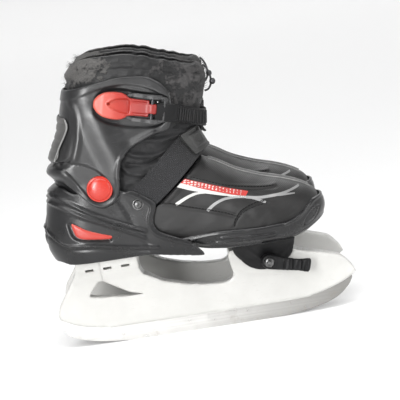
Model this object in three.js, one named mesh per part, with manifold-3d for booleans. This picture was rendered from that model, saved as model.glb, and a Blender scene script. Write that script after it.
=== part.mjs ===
// A pair of size-adjustable recreational ice skates: plastic shell boot with a hinged cuff,
// soft liner, buckle, instep strap, white blade holder and steel runner.
// Millimetres. +X points to the toes, +Y to the wearer's left, +Z up; the runners stand on z = 0.
// Each skate is drawn about its own centre plane y = 0 with its outer side at -y;
// the right skate is placed as drawn and the left one is its mirror image.
import * as THREE from 'three';
import { mergeVertices } from 'three/addons/utils/BufferGeometryUtils.js';
import Module from 'manifold-3d';

const wasm = await Module();
wasm.setup();

// ---------------------------------------------------------------- driving dimensions
const SPACING = 108;          // between the two skates' centre planes
const HOLDER_LENGTH = 303;    // overall length of the blade holder
const SHELL_WALL = 3;         // moulded shells
const CUFF_WALL = 3;
const FIT = 0.3;              // gap between pieces that touch
const SLIDE_GAP = 0.5;        // gap between pieces that slide past each other
const SECTION_POINTS = 18;    // points around a section of the boot

const RUNNER_THICKNESS = 3.2;
const RUNNER_SEAT = 7;        // how far the steel reaches up into the holder
const SOLE_HEEL = 91;         // underside of the heel
const SOLE_TOE = 82;          // underside of the toe shell
const RAIL_TOP = 78;          // top of the holder's front rail
const FOOTBED = 96;           // top of the shell floors

const PIVOT = { x: -87, z: 164 };   // cuff hinge
const PIVOT_RADIUS = 4;
const CAP_RADIUS = 12.7;
const CAP_HEIGHT = 4.2;
const ANKLE_HALF = 42;        // half width of the rear shell at the hinge
const CUFF_GAP = 0.8;         // between rear shell and cuff at the hinge

const STRAP_WIDTH = 28;       // instep strap
const STRAP_THICKNESS = 2.2;
const SCREW = { x: -53, z: 143, radius: 4.3 };

const LEVER_LENGTH = 56;
const LEVER_TILT = -15.5;     // degrees, falling towards the toes
const BUCKLE = { x: -24, z: 237 };  // hinge pin of the lever
const PIN_RADIUS = 1.5;

const BOLT = { x: 65.5, z: 64, radius: 3, head: 5 };
const SIZE_TRAVEL = 20;       // length adjustment of the toe section
const SIZE_LEVER = { length: 40, tilt: -14, hub: 7.5, thickness: 5 };

const COLLAR_THICKNESS = 9;
const LACE_RADIUS = 1.1;
const BEAD_RADIUS = 3;

const half = HOLDER_LENGTH / 2;
const cuffInside = ANKLE_HALF + CUFF_GAP;
const cuffHalf = cuffInside + CUFF_WALL;

// ---------------------------------------------------------------- materials
function finish(color, roughness, metalness = 0) {
  return new THREE.MeshStandardMaterial({ color, roughness, metalness });
}
const steel = finish(0x9a9894, 0.35, 1);
const whitePlastic = finish(0xf2f2ee, 0.4);
const blackShell = finish(0x1b1b1c, 0.38);
const blackCuff = finish(0x222223, 0.42);
const blackFabric = finish(0x161616, 0.9);
const liningFabric = finish(0x202020, 0.95);
const redPlastic = finish(0xdc4632, 0.35);
const darkRed = finish(0xa52a20, 0.38);
const greyPiping = finish(0x4a4a4a, 0.6);
const webbing = finish(0x141414, 0.85);
const tabRubber = finish(0x4b4b4b, 0.7);
const strapPlastic = finish(0x121212, 0.4);
const darkMetal = finish(0x2c2c2e, 0.3, 0.8);
const footFoam = finish(0x3a3a3c, 0.9);

// ---------------------------------------------------------------- shape helpers
const lerp = (a, b, t) => a + (b - a) * t;
const radians = (degrees) => degrees * Math.PI / 180;
const signedPower = (v, p) => Math.sign(v) * Math.abs(v) ** p;

/** Value at `at` in a list of [place, value] pairs, with straight runs between them. */
function along(pairs, at) {
  const last = pairs.length - 1;
  if (at <= pairs[0][0]) return pairs[0][1];
  for (let i = 0; i < last; i += 1) {
    const [a, va] = pairs[i];
    const [b, vb] = pairs[i + 1];
    if (at <= b) return lerp(va, vb, (at - a) / (b - a));
  }
  return pairs[last][1];
}

/** Six times the volume that the triangles enclose; negative when they face inwards. */
function signedVolume(points, triangles) {
  const at = (i) => new THREE.Vector3(...points[i]);
  return triangles.reduce((sum, [a, b, c]) => sum + at(a).dot(at(b).cross(at(c))), 0);
}

/** Indexed geometry from points and triangles, facing outwards. */
function geometry(points, triangles) {
  const result = new THREE.BufferGeometry();
  const facing = signedVolume(points, triangles) < 0 ? triangles.map(([a, b, c]) => [a, c, b]) : triangles;
  result.setAttribute('position', new THREE.Float32BufferAttribute(points.flat(), 3));
  result.setIndex(facing.flat());
  result.computeVertexNormals();
  return result;
}

/** Closed body through equal rings of points; the ends are capped, or the last ring meets the first. */
function loft(rings, { closed = false } = {}) {
  const count = rings[0].length;
  const points = rings.flat();
  const triangles = [];
  const spans = closed ? rings.length : rings.length - 1;
  for (let i = 0; i < spans; i += 1) {
    const low = i * count;
    const high = ((i + 1) % rings.length) * count;
    for (let j = 0; j < count; j += 1) {
      const next = (j + 1) % count;
      triangles.push([low + j, low + next, high + next], [low + j, high + next, high + j]);
    }
  }
  if (!closed) {
    for (const [ring, flip] of [[0, true], [rings.length - 1, false]]) {
      const start = ring * count;
      const middle = [0, 1, 2].map((k) => rings[ring].reduce((sum, p) => sum + p[k], 0) / count);
      points.push(middle);
      const centre = points.length - 1;
      for (let j = 0; j < count; j += 1) {
        const next = (j + 1) % count;
        triangles.push(flip ? [centre, start + next, start + j] : [centre, start + j, start + next]);
      }
    }
  }
  return geometry(points, triangles);
}

/** A closed geometry as a solid for joining and cutting. */
function solidOf(source) {
  const bare = source.clone();
  bare.deleteAttribute('normal');
  bare.deleteAttribute('uv');
  const merged = mergeVertices(bare, 1e-3);
  const index = merged.index.array;
  const kept = [];
  for (let i = 0; i < index.length; i += 3) {
    const [a, b, c] = [index[i], index[i + 1], index[i + 2]];
    if (a !== b && b !== c && c !== a) kept.push(a, b, c);
  }
  const solid = new wasm.Manifold(new wasm.Mesh({
    numProp: 3,
    vertProperties: new Float32Array(merged.attributes.position.array),
    triVerts: new Uint32Array(kept),
  }));
  return solid;
}

/** The geometry of a solid. */
function geometryOf(solid) {
  const mesh = solid.getMesh();
  const result = new THREE.BufferGeometry();
  result.setAttribute('position', new THREE.BufferAttribute(mesh.vertProperties, 3));
  result.setIndex(new THREE.BufferAttribute(mesh.triVerts, 1));
  result.computeVertexNormals();
  return result;
}

/** Prism over an outline of [x, z] points, from y = low to y = high. */
function sidePrism(outline, low, high) {
  const shape = new THREE.Shape(outline.map(([x, z]) => new THREE.Vector2(x, z)));
  const prism = new THREE.ExtrudeGeometry(shape, { depth: high - low, bevelEnabled: false });
  prism.rotateX(Math.PI / 2);
  prism.translate(0, high, 0);
  return prism;
}

/** Prism along X over an outline of [y, z] points. */
function frontPrism(outline, low, high) {
  const shape = new THREE.Shape(outline.map(([y, z]) => new THREE.Vector2(y, z)));
  const prism = new THREE.ExtrudeGeometry(shape, { depth: high - low, bevelEnabled: false });
  prism.rotateX(Math.PI / 2);
  prism.rotateZ(Math.PI / 2);
  prism.translate(low, 0, 0);
  return prism;
}

/** Round rod along Y at (x, z). */
function rod(radius, low, high, place, segments = 16) {
  const cylinder = new THREE.CylinderGeometry(radius, radius, high - low, segments);
  cylinder.translate(place.x, (low + high) / 2, place.z);
  return cylinder;
}

/** Round body about an axis along Y: profile of [radius, height], height measured outwards (-y). */
function turned(profile, place, base, segments = 16) {
  const points = profile.map(([r, h]) => new THREE.Vector2(r, h));
  const body = new THREE.LatheGeometry(points, segments);
  body.rotateX(Math.PI);
  body.translate(place.x, base, place.z);
  return body;
}

/** The mirror image of a closed geometry in the skate's centre plane. */
function mirrored(source) {
  const copy = source.index ? source.clone() : mergeVertices(source.clone());
  copy.scale(1, -1, 1);
  const index = copy.index.array;
  for (let i = 0; i < index.length; i += 3) [index[i], index[i + 1]] = [index[i + 1], index[i]];
  copy.computeVertexNormals();
  return copy;
}

/** Flat band with a rectangular section through stations of centre, width direction and normal. */
function band(stations, width, thickness) {
  const rings = stations.map(({ at, across, out }) => {
    const w = new THREE.Vector3(...across).normalize().multiplyScalar(width / 2);
    const t = new THREE.Vector3(...out).normalize().multiplyScalar(thickness / 2);
    const c = new THREE.Vector3(...at);
    const corners = [[1, 1], [-1, 1], [-1, -1], [1, -1]];
    return corners.map(([a, b]) => c.clone().addScaledVector(w, a).addScaledVector(t, b).toArray());
  });
  return loft(rings);
}

// ---------------------------------------------------------------- boot surfaces
// Forefoot and instep: [x, underside, top, half width] of the upper's outer face.
const FOOT_STATIONS = [
  [-62, 96, 186, 36.8],
  [-30, 94, 182, 39.4],
  [0, 90, 178, 42],
  [22, 88, 172, 44.4],
  [50, 87, 156, 46.6],
  [72, 87, 146.5, 46.8],
  [92, 87, 141, 42.5],
  [108, 88, 134.5, 35.5],
  [120, 90, 126, 26.5],
  [127, 93, 117, 15],
];
const TOE_SWING = 4;          // how far the toe leans to the inner side

function swing(x) {
  return TOE_SWING * Math.max(0, (x - 20) / 107);
}

/** Section across the foot at one station, grown outwards by `grow`. */
function footRing([x, low, top, wide], grow) {
  const ring = [];
  const middle = (low + top) / 2;
  const tall = (top - low) / 2 + grow;
  for (let j = 0; j < SECTION_POINTS; j += 1) {
    const angle = (j / SECTION_POINTS) * 2 * Math.PI;
    const power = Math.sin(angle) > 0 ? 0.85 : 0.5;
    const y = (wide + grow) * signedPower(Math.cos(angle), power);
    ring.push([x, y + swing(x), middle + tall * signedPower(Math.sin(angle), power)]);
  }
  return ring;
}

/** Foot body grown by `grow`, between two places along X; `sink` lowers its underside. */
function footBody(grow, from = -62, to = 127, sink = 0) {
  const inner = FOOT_STATIONS.filter(([x]) => x > from + 1 && x < to - 1);
  const at = (x) => [x, ...[1, 2, 3].map((k) => along(FOOT_STATIONS.map((s) => [s[0], s[k]]), x))];
  const stations = [at(from), ...inner, at(to)];
  const nose = grow > 0 && to >= 127 ? [[to + grow, 100, 110, Math.max(4, 8 - grow)]] : [];
  const lowered = stations.map(([x, low, top, wide]) => [x, low - sink, top, wide]);
  const rings = [...lowered.map((s) => footRing(s, grow)), ...nose.map((s) => footRing(s, 0))];
  return solidOf(loft(rings));
}

/**
 * Horizontal section open towards the toes: a round heel at `back`, straight sides up to x = `waist`,
 * then sides that spread by `flare` on their way to `front`.
 */
function heelRing({ z, back, front, wide, round, waist = -58, flare = 0 }) {
  const ring = [];
  const count = SECTION_POINTS - 6;
  for (let j = 0; j <= count; j += 1) {
    const angle = (j / count) * Math.PI;
    const x = back + round * (1 - signedPower(Math.sin(angle), 0.8));
    ring.push([x, -wide * signedPower(Math.cos(angle), 0.8), z]);
  }
  const mouth = wide + flare;
  ring.push([waist, wide, z], [front, mouth, z], [front, -mouth, z], [waist, -wide, z]);
  return ring;
}

const REAR_BACK = [[84, -140], [94, -144], [107, -149], [120, -151], [140, -147], [158, -143], [172, -139]];
const REAR_HALF = [[84, 37], [94, 40], [107, 41.5], [130, ANKLE_HALF], [180, ANKLE_HALF]];
const REAR_FLARE = 5;         // how much the shell widens from the waist to its front edge

/** Rear shell body grown by `grow`. */
function rearBody(grow, low = 78) {
  const levels = [low, 86, 94, 104, 116, 128, 142, 158, 172, 184];
  return solidOf(loft(levels.map((z) => heelRing({
    z,
    back: along(REAR_BACK, z) - grow,
    front: 30,
    wide: along(REAR_HALF, z) + grow,
    round: 52,
    flare: REAR_FLARE,
  }))));
}

const CUFF_BACK = [[140, -134], [171, -136], [184, -137.5], [198, -132.5], [223, -120.5], [240, -116.5], [270, -107]];
const CUFF_HALF = [[140, cuffHalf], [215, cuffHalf], [245, cuffHalf - 1], [275, cuffHalf - 3]];

/** Cuff body grown by `grow`. */
function cuffBody(grow) {
  const levels = [136, 160, 178, 186, 198, 212, 226, 242, 258, 276];
  return solidOf(loft(levels.map((z) => heelRing({
    z,
    back: along(CUFF_BACK, z) - grow,
    front: 30,
    wide: along(CUFF_HALF, z) + grow,
    round: 30,
  }))));
}

// Liner around the ankle: [z, back, front, half width] of its outer face.
const ANKLE_STATIONS = [
  [100, -134, -20, 30],
  [118, -138, -8, 32.5],
  [140, -137, 2, 34],
  [160, -132, 6, 35],
  [180, -125, 6, 36],
  [205, -118, 8, 36.8],
];

/** Oval horizontal section of the liner or collar. */
function ovalRing(z, back, front, wide, rise = () => 0) {
  const ring = [];
  for (let j = 0; j < SECTION_POINTS; j += 1) {
    const angle = (j / SECTION_POINTS) * 2 * Math.PI;
    const x = (back + front) / 2 + ((front - back) / 2) * signedPower(Math.cos(angle), 0.85);
    ring.push([x, wide * signedPower(Math.sin(angle), 0.85), z + rise(x)]);
  }
  return ring;
}

/** Ankle part of the liner grown by `grow`, up to z = top; `sink` lowers its underside. */
function ankleBody(grow, top, sink = 0) {
  const inner = ANKLE_STATIONS.filter(([z]) => z < top - 1);
  const at = (k) => along(ANKLE_STATIONS.map((s) => [s[0], s[k]]), top);
  const stations = [...inner, [top, at(1), at(2), at(3)]];
  return solidOf(loft(stations.map(([z, back, front, wide]) => (
    ovalRing(z === ANKLE_STATIONS[0][0] ? z - grow - sink : z, back - grow, front + grow, wide + grow)))));
}

// ---------------------------------------------------------------- blade and holder
const RUNNER_SOLE = [
  [-150, 24], [-145, 15], [-138, 10.5], [-128, 7], [-113, 3.6], [-92, 1.2], [-70, 0], [45, 0],
  [80, 1.2], [100, 3.4], [112, 5.6], [122, 8.4], [132, 13], [139, 18.5], [144.5, 24.5], [147, 29],
];
const HOLDER_LINE = [
  [-150, 31.5], [-137, 25], [-124, 21], [-105, 17.5], [-86, 16.5], [80, 16], [106, 18], [124, 22.5],
  [139, 28], [147, 32.5],
];
const HOLDER_TOP = [
  [half, 36], [half - 3, 43], [143, 50], [137, 55], [120, 60.5], [100, 66], [91, 70], [89, RAIL_TOP],
  [28, RAIL_TOP], [29, 52], [26, 47.5], [20, 45.5], [3, 46], [-20, 50], [-42, 57], [-52, 63], [-60, 67.5],
  [-63, 74], [-63, SOLE_HEEL - FIT], [-125, SOLE_HEEL - FIT], [-126, 82], [-129, 75], [-136, 64],
  [-143, 54], [-149, 45], [-half, 36.5],
];
const TRIANGLE = [[-111, 50], [-77, 46.5], [-64, 46.5], [-77, 50.5], [-95, 62], [-101, 66.5], [-106, 66.5], [-117, 52.5]];
// Half width of the holder at a height: thin at the steel, flared under the soles.
const HOLDER_HALF = [[10, 4.6], [38, 5.4], [52, 7], [64, 10.5], [74, 17], [RAIL_TOP, 20], [84, 24], [92, 26]];

/** Both sides of the holder's front view, grown sideways by `grow`. */
function holderFront(grow, top = 92) {
  const side = HOLDER_HALF.filter(([z]) => z < top).map(([z, w]) => [w + grow, z]);
  side.push([along(HOLDER_HALF, top) + grow, top]);
  const other = side.map(([w, z]) => [-w, z]).reverse();
  return [...side, ...other];
}

function runnerOutline(grow) {
  const top = HOLDER_LINE.map(([x, z]) => [x, z + RUNNER_SEAT + grow]).reverse();
  return [...RUNNER_SOLE.map(([x, z]) => [x, z - grow]), ...top];
}

function bladeParts() {
  const runner = sidePrism(runnerOutline(0), -RUNNER_THICKNESS / 2, RUNNER_THICKNESS / 2);
  const groove = sidePrism(runnerOutline(FIT), -RUNNER_THICKNESS / 2 - FIT, RUNNER_THICKNESS / 2 + FIT);
  const slotEnds = [BOLT.x, BOLT.x + SIZE_TRAVEL];
  const slotHalf = BOLT.radius + FIT;
  const slot = sidePrism([
    [slotEnds[0] - slotHalf, BOLT.z - slotHalf], [slotEnds[1] + slotHalf, BOLT.z - slotHalf],
    [slotEnds[1] + slotHalf, BOLT.z + slotHalf], [slotEnds[0] - slotHalf, BOLT.z + slotHalf],
  ], -30, 30);
  const holder = solidOf(sidePrism([...HOLDER_LINE, ...HOLDER_TOP], -40, 40))
    .intersect(solidOf(frontPrism(holderFront(0), -half - 5, half + 5)))
    .subtract(solidOf(groove))
    .subtract(solidOf(sidePrism(TRIANGLE, -40, 40)))
    .subtract(solidOf(slot));
  return [
    ['blade_runner', runner, steel],
    ['blade_holder', geometryOf(holder), whitePlastic],
  ];
}

// ---------------------------------------------------------------- rear shell
const REAR_OUTLINE = [
  [3, 83], [-26, 86.5], [-55, SOLE_HEEL], [-124, SOLE_HEEL], [-136, 94], [-160, 96], [-160, 168.5],
  [-127, 168.5], [-117, 160], [-106, 150], [-101, 158], [-98, 172], [-92, 177], [-82, 177], [-75, 172],
  [-68, 159], [-57, 157], [-48, 151.5], [-36, 141], [-40, 128], [-41, 121], [-37, 113.5], [-23, 106],
  [-12, 101], [-5, 95],
];
const FLOOR_LINE = [[40, 84], [4, 84.5], [-26, 89.6], [-38, 91.6], [-40, FOOTBED], [-200, FOOTBED]];
const INLAY = [[-119, 134], [-103, 124], [-83, 116], [-109, 117.5], [-115, 120.5], [-118.5, 127]];

function rearShellParts() {
  const hollow = rearBody(-SHELL_WALL, 80)
    .intersect(solidOf(sidePrism([...FLOOR_LINE, [-200, 200], [40, 200]].reverse(), -60, 60)));
  const bores = [[PIVOT, PIVOT_RADIUS + FIT / 2], [SCREW, SCREW.radius / 2 + FIT]];
  let shell = rearBody(0).intersect(solidOf(sidePrism(REAR_OUTLINE, -60, 60))).subtract(hollow);
  for (const [place, radius] of bores) shell = shell.subtract(solidOf(rod(radius, -60, 60, place)));
  const patch = rearBody(1.2).subtract(rearBody(FIT));
  const cut = (low, high) => geometryOf(patch.intersect(solidOf(sidePrism(INLAY, low, high))));
  return [
    ['rear_shell', geometryOf(shell), blackShell],
    ['heel_inlay_outer', cut(-60, 0), redPlastic],
    ['heel_inlay_inner', cut(0, 60), redPlastic],
  ];
}

// ---------------------------------------------------------------- liner, insole, strap
const LINER_INSET = 6.4;      // liner inside the upper's outer face
const LINER_WALL = 4;
const LINER_FRONT = 44;
const LINER_TOP = 198;

function linerParts() {
  const outer = footBody(-LINER_INSET, -58, LINER_FRONT).add(ankleBody(0, LINER_TOP));
  const inner = footBody(-LINER_INSET - LINER_WALL, -54, LINER_FRONT + 5, 6 * LINER_WALL)
    .add(ankleBody(-LINER_WALL, LINER_TOP + 4, 3 * LINER_WALL));
  const lid = solidOf(sidePrism([[-200, LINER_TOP - 0.5], [80, LINER_TOP - 0.5], [80, 230], [-200, 230]], -60, 60));
  const above = solidOf(sidePrism([[-200, FOOTBED + FIT], [80, FOOTBED + FIT], [80, 230], [-200, 230]], -60, 60));
  const deep = solidOf(sidePrism([[-200, FOOTBED + 5], [80, FOOTBED + 5], [80, 240], [-200, 240]], -60, 60));
  const boot = outer.intersect(above).subtract(inner.intersect(deep)).subtract(lid);
  return [['inner_boot', geometryOf(boot), liningFabric]];
}

const INSOLE_STATIONS = [
  [-120, 10], [-112, 17], [-98, 21.5], [-60, 23.5], [-20, 25], [25, 29], [60, 33], [85, 31], [98, 24], [105, 12],
];

function insoleParts() {
  const near = INSOLE_STATIONS.map(([x, w]) => [x, swing(x) - w]);
  const far = INSOLE_STATIONS.map(([x, w]) => [x, swing(x) + w]).reverse();
  const shape = new THREE.Shape([...near, ...far].map(([x, y]) => new THREE.Vector2(x, y)));
  const sole = new THREE.ExtrudeGeometry(shape, { depth: 3, bevelEnabled: false });
  sole.translate(0, 0, FOOTBED + 5 + FIT);
  return [['insole', sole, footFoam]];
}

/** Instep strap: from the shell's lug over the instep to the lug on the other side. */
function strapParts() {
  const side = [
    { at: [-50, -37.6, 146.5], across: [0.78, 0, -0.63], out: [0, -1, 0] },
    { at: [-38, -38.4, 157], across: [0.76, 0, -0.65], out: [0, -1, 0] },
    { at: [-22, -38.6, 172], across: [0.72, 0, -0.69], out: [0.12, -1, 0.12] },
    { at: [-6, -34, 185.5], across: [0.62, 0, -0.78], out: [0.5, -0.9, 0.35] },
    { at: [6, -24, 192.5], across: [0.48, 0, -0.88], out: [0.8, -0.5, 0.4] },
    { at: [12.4, -12, 195], across: [0.4, 0, -0.92], out: [0.9, -0.2, 0.38] },
  ];
  const other = side.map(({ at, across, out }) => (
    { at: [at[0], -at[1], at[2]], across, out: [out[0], -out[1], out[2]] })).reverse();
  const top = { at: [13.6, 0, 195.5], across: [0.4, 0, -0.92], out: [0.92, 0, 0.4] };
  const strap = solidOf(band([...side, top, ...other], STRAP_WIDTH, STRAP_THICKNESS))
    .subtract(solidOf(rod(SCREW.radius / 2 + FIT, -60, 60, SCREW)));
  const tab = band([
    { at: [5.5, -29.5, 192.8], across: [0.48, 0, -0.88], out: [0.8, -0.6, 0.4] },
    { at: [14.2, -18, 195.4], across: [0.42, 0, -0.9], out: [0.88, -0.34, 0.4] },
    { at: [17.6, -7, 196.6], across: [0.4, 0, -0.92], out: [0.92, -0.08, 0.4] },
  ], 24, 2.6);
  const shank = SCREW.radius / 2;
  const seat = SHELL_WALL + FIT + 0.6;
  const rivet = turned([
    [0, -3.6], [shank + 1.6, -3.6], [shank + 1.6, -2.8], [shank, -2.8], [shank, seat],
    [SCREW.radius, seat], [SCREW.radius * 0.8, seat + 1.5], [0, seat + 1.9],
  ], SCREW, -ANKLE_HALF + SHELL_WALL);
  return [
    ['instep_strap', geometryOf(strap), webbing],
    ['strap_tab', tab, tabRubber],
    ['strap_rivet_outer', rivet, darkMetal],
    ['strap_rivet_inner', mirrored(rivet), darkMetal],
  ];
}

// ---------------------------------------------------------------- cuff and what it carries
const CUFF_OUTLINE = [
  [-141, 176], [-160, 176], [-160, 262], [-104, 262.5], [-85, 264], [-65, 267], [-52, 268], [-31, 266],
  [-21, 262.5], [-12, 255], [-6, 246], [-6, 229], [-12, 211.5], [-26, 208], [-45, 201], [-55, 195], [-62, 187],
  [-66, 174], [-67, 164], [-70, 154], [-76, 147.5], [-86, 144.5], [-94, 147], [-101, 153.5], [-115, 168.5],
  [-124, 176],
];
const BACK_PANEL = [[-160, 197], [-112, 197], [-103, 214], [-101, 240], [-160, 240]];

function cuffParts() {
  const hollow = cuffBody(-CUFF_WALL)
    .intersect(solidOf(sidePrism([[-200, 120], [60, 120], [60, 300], [-200, 300]], -60, 60)));
  const trimmed = solidOf(sidePrism([[-200, 274], [60, 274], [60, 300], [-200, 300]], -60, 60));
  const floor = solidOf(sidePrism([[-200, 100], [60, 100], [60, 138], [-200, 138]], -60, 60));
  const through = solidOf(loft([130, 280].map((z) => heelRing({ z, back: -100, front: 30, wide: 30, round: 30 }))));
  const cuff = cuffBody(0).intersect(solidOf(sidePrism(CUFF_OUTLINE, -60, 60)))
    .subtract(hollow).subtract(trimmed).subtract(floor).subtract(through)
    .subtract(solidOf(rod(PIVOT_RADIUS + FIT, -60, 60, PIVOT)));
  const panel = cuffBody(1.4).subtract(cuffBody(FIT)).intersect(solidOf(sidePrism(BACK_PANEL, -60, 60)));
  const rivet = turned([
    [0, -2.2], [PIVOT_RADIUS + 3, -2.2], [PIVOT_RADIUS + 3, -2 * FIT], [PIVOT_RADIUS, -2 * FIT],
    [PIVOT_RADIUS, SHELL_WALL + CUFF_GAP + CUFF_WALL], [0, SHELL_WALL + CUFF_GAP + CUFF_WALL],
  ], PIVOT, -ANKLE_HALF + SHELL_WALL);
  const cap = turned([
    [0, 0], [CAP_RADIUS, 0], [CAP_RADIUS, CAP_HEIGHT * 0.55], [CAP_RADIUS * 0.86, CAP_HEIGHT * 0.9],
    [CAP_RADIUS * 0.5, CAP_HEIGHT], [0, CAP_HEIGHT],
  ], PIVOT, -cuffHalf - FIT);
  return [
    ['cuff', geometryOf(cuff), blackCuff],
    ['cuff_back_panel', geometryOf(panel), greyPiping],
    ['pivot_rivet_outer', rivet, darkMetal],
    ['pivot_rivet_inner', mirrored(rivet), darkMetal],
    ['pivot_cap_outer', cap, redPlastic],
    ['pivot_cap_inner', mirrored(cap), redPlastic],
  ];
}

// Collar of the liner, above the shells: heights of its two edges along the boot.
const COLLAR_RIM = [[-106, 280], [-75, 286], [-50, 286], [-20, 278], [8, 266], [30, 266]];
const COLLAR_FOOT = [[-115, 206], [-40, 206], [-12, 211], [8, 219], [22, 220]];
// Outer face of the collar: [share of its height, back, front, half width].
const COLLAR_STATIONS = [
  [0, -116, 17, 39.6], [0.3, -110, 23, 41.2], [0.62, -106.5, 29, 41], [0.9, -104.5, 31, 38.8], [1, -101, 29, 36],
];

function collarParts() {
  const ring = (share, back, front, wide) => ovalRing(0, back, front, wide, (x) => (
    lerp(along(COLLAR_FOOT, x), along(COLLAR_RIM, x), share)));
  const outer = COLLAR_STATIONS.map(([share, back, front, wide]) => ring(share, back, front, wide));
  const t = COLLAR_THICKNESS;
  const inner = COLLAR_STATIONS.map(([share, back, front, wide]) => (
    ring(Math.min(share, 0.97), back + t, front - t, wide - t))).reverse();
  return [['collar', loft([...outer, ...inner], { closed: true }), blackFabric]];
}

/** Short loop of cord with a bead at the front of the tongue. */
function laceParts() {
  const route = [[31.9, 0, 257], [34.2, 0, 254], [35.6, 0, 249.5], [36, 0, 244.5], [34.6, 0, 240.5], [31, 0, 238.5]];
  const curve = new THREE.CatmullRomCurve3(route.map((p) => new THREE.Vector3(...p)));
  const section = new THREE.Shape();
  section.absarc(0, 0, LACE_RADIUS, 0, 2 * Math.PI);
  const cord = new THREE.ExtrudeGeometry(section, { steps: 9, curveSegments: 4, extrudePath: curve, bevelEnabled: false });
  const bead = new THREE.SphereGeometry(BEAD_RADIUS, 10, 6);
  bead.translate(36.6 + BEAD_RADIUS + LACE_RADIUS * 0.6, 0, 246);
  return [
    ['lace_loop', cord, webbing],
    ['lace_bead', bead, strapPlastic],
  ];
}

/** Places a geometry drawn on the lever's own axes: x back along the lever, y out, z across. */
function onBuckle(part) {
  part.rotateY(-radians(LEVER_TILT));
  part.translate(BUCKLE.x, 0, BUCKLE.z);
  return part;
}

/** Prism on the buckle's axes over an outline of [back, across], from y = low to y = high. */
function bucklePrism(outline, low, high) {
  return onBuckle(sidePrism(outline.map(([u, v]) => [-u, v]).reverse(), low, high));
}

function bucklePin(radius, length) {
  const pin = new THREE.CylinderGeometry(radius, radius, length, 16);
  pin.rotateX(Math.PI / 2);
  return onBuckle(pin.translate(0, -PIN_HEIGHT, 0));
}

const BASE_THICKNESS = 2.4;
const basePlane = cuffHalf + FIT;            // outward distance of the base's back
const PIN_HEIGHT = basePlane + BASE_THICKNESS + 4.2;
const EAR = { inside: 8.4, outside: 11.6 };

function buckleParts() {
  const plateTop = -basePlane - BASE_THICKNESS;
  const plate = bucklePrism([[-10, -12.5], [22, -12.5], [22, 12.5], [-10, 12.5]], plateTop, -basePlane);
  let base = solidOf(plate);
  for (const side of [-1, 1]) {
    const low = side * EAR.inside;
    const high = side * EAR.outside;
    const [near, far] = [Math.min(low, high), Math.max(low, high)];
    const ear = bucklePrism([[-6, near], [7, near], [7, far], [-6, far]], -PIN_HEIGHT - 3.2, plateTop + 0.2);
    base = base.add(solidOf(ear));
  }
  base = base.subtract(solidOf(bucklePin(PIN_RADIUS + FIT / 2, 40)));
  const leverOutline = [
    [-2.6, -7.6], [14, -7.6], [22, -8], [27, -9.5], [33, -12.6], [40, -13.4], [49, -12], [54, -8.5],
    [LEVER_LENGTH, -3], [LEVER_LENGTH, 3], [54, 8.5], [49, 12], [40, 13.4], [33, 12.6], [27, 9.5], [22, 8],
    [14, 7.6], [-2.6, 7.6],
  ];
  const lever = solidOf(bucklePrism(leverOutline, -PIN_HEIGHT - 3, -PIN_HEIGHT + 2.6))
    .subtract(solidOf(bucklePin(PIN_RADIUS + FIT, 40)));
  return [
    ['buckle_base', geometryOf(base), darkMetal],
    ['buckle_lever', geometryOf(lever), redPlastic],
    ['buckle_pin', bucklePin(PIN_RADIUS, 2 * EAR.outside), darkMetal],
  ];
}

/** Ladder strap: from the buckle round the front of the tongue to its rivet on the inner side. */
function ladderParts() {
  const y = cuffHalf + 1.6;
  const side = [
    { at: [-13, -y - 1, 233], across: [0.27, 0, 0.96], out: [0, -1, 0] },
    { at: [-3, -y - 0.4, 229.5], across: [0.28, 0, 0.96], out: [0.2, -1, 0] },
    { at: [10, -38, 223.5], across: [0.26, 0, 0.96], out: [0.8, -1, 0] },
    { at: [21, -23, 217.5], across: [0.2, 0, 0.98], out: [1, -0.7, 0] },
    { at: [28.5, -10, 214.5], across: [0.15, 0, 0.99], out: [1, -0.25, 0] },
  ];
  const top = { at: [30, 0, 214], across: [0.14, 0, 0.99], out: [1, 0, 0] };
  const other = side.slice(1).map(({ at, across, out }) => (
    { at: [at[0], -at[1], at[2]], across, out: [out[0], -out[1], out[2]] })).reverse();
  const end = [
    { at: [-14, y, 232.5], across: [0.27, 0, 0.96], out: [0, 1, 0] },
    { at: [-34, y, 237.5], across: [0.27, 0, 0.96], out: [0, 1, 0] },
  ];
  const anchor = { x: -27, z: 235.8 };
  const strap = solidOf(band([...side, top, ...other, ...end], 17, 2))
    .subtract(solidOf(rod(2.4 + FIT, 30, 60, anchor)));
  const rivet = mirrored(turned([
    [0, 0.9], [2.4, 0.9], [2.4, 3.6], [5, 3.6], [4, 5], [0, 5.3],
  ], anchor, -cuffHalf + 0.6));
  return [
    ['ladder_strap', geometryOf(strap), strapPlastic],
    ['ladder_rivet', rivet, darkMetal],
  ];
}

// ---------------------------------------------------------------- toe section
// Toe shell: [x, underside, half width] of its outer face.
const TOE_STATIONS = [
  [-38, 95, 38], [-4, 88, 41], [6, 85.4, 42.4], [20, 83.4, 45], [34, SOLE_TOE, 47], [60, SOLE_TOE, 49.2],
  [78, SOLE_TOE, 48.6], [94, 83, 44.6], [108, 85.5, 37.5], [120, 90.5, 28.5], [128, 95.5, 18], [131.5, 101, 8],
];
const TOE_RIM = [[-44, 97], [-12, 101.5], [20, 104.5], [60, 102.5], [88, 103.5], [105, 110], [118, 119.5], [135, 121]];
const VAMP_REAR = [[-33, 138.5], [19, 181]];

/** Toe shell body grown by `grow`. */
function toeBody(grow) {
  const nose = TOE_STATIONS.at(-1)[0];
  const lean = (x) => grow * Math.max(0, (x - 100) / (nose - 100));
  const rings = TOE_STATIONS.map(([x, low, wide]) => footRing([x + lean(x), low, 150, wide], grow));
  return solidOf(loft(rings));
}

/** Prism over the part of the side view above the toe shell's rim, raised by `lift`. */
function aboveRim(lift) {
  return sidePrism([...TOE_RIM.map(([x, z]) => [x, z + lift]), [160, 260], [-44, 260]], -60, 60);
}

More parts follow.
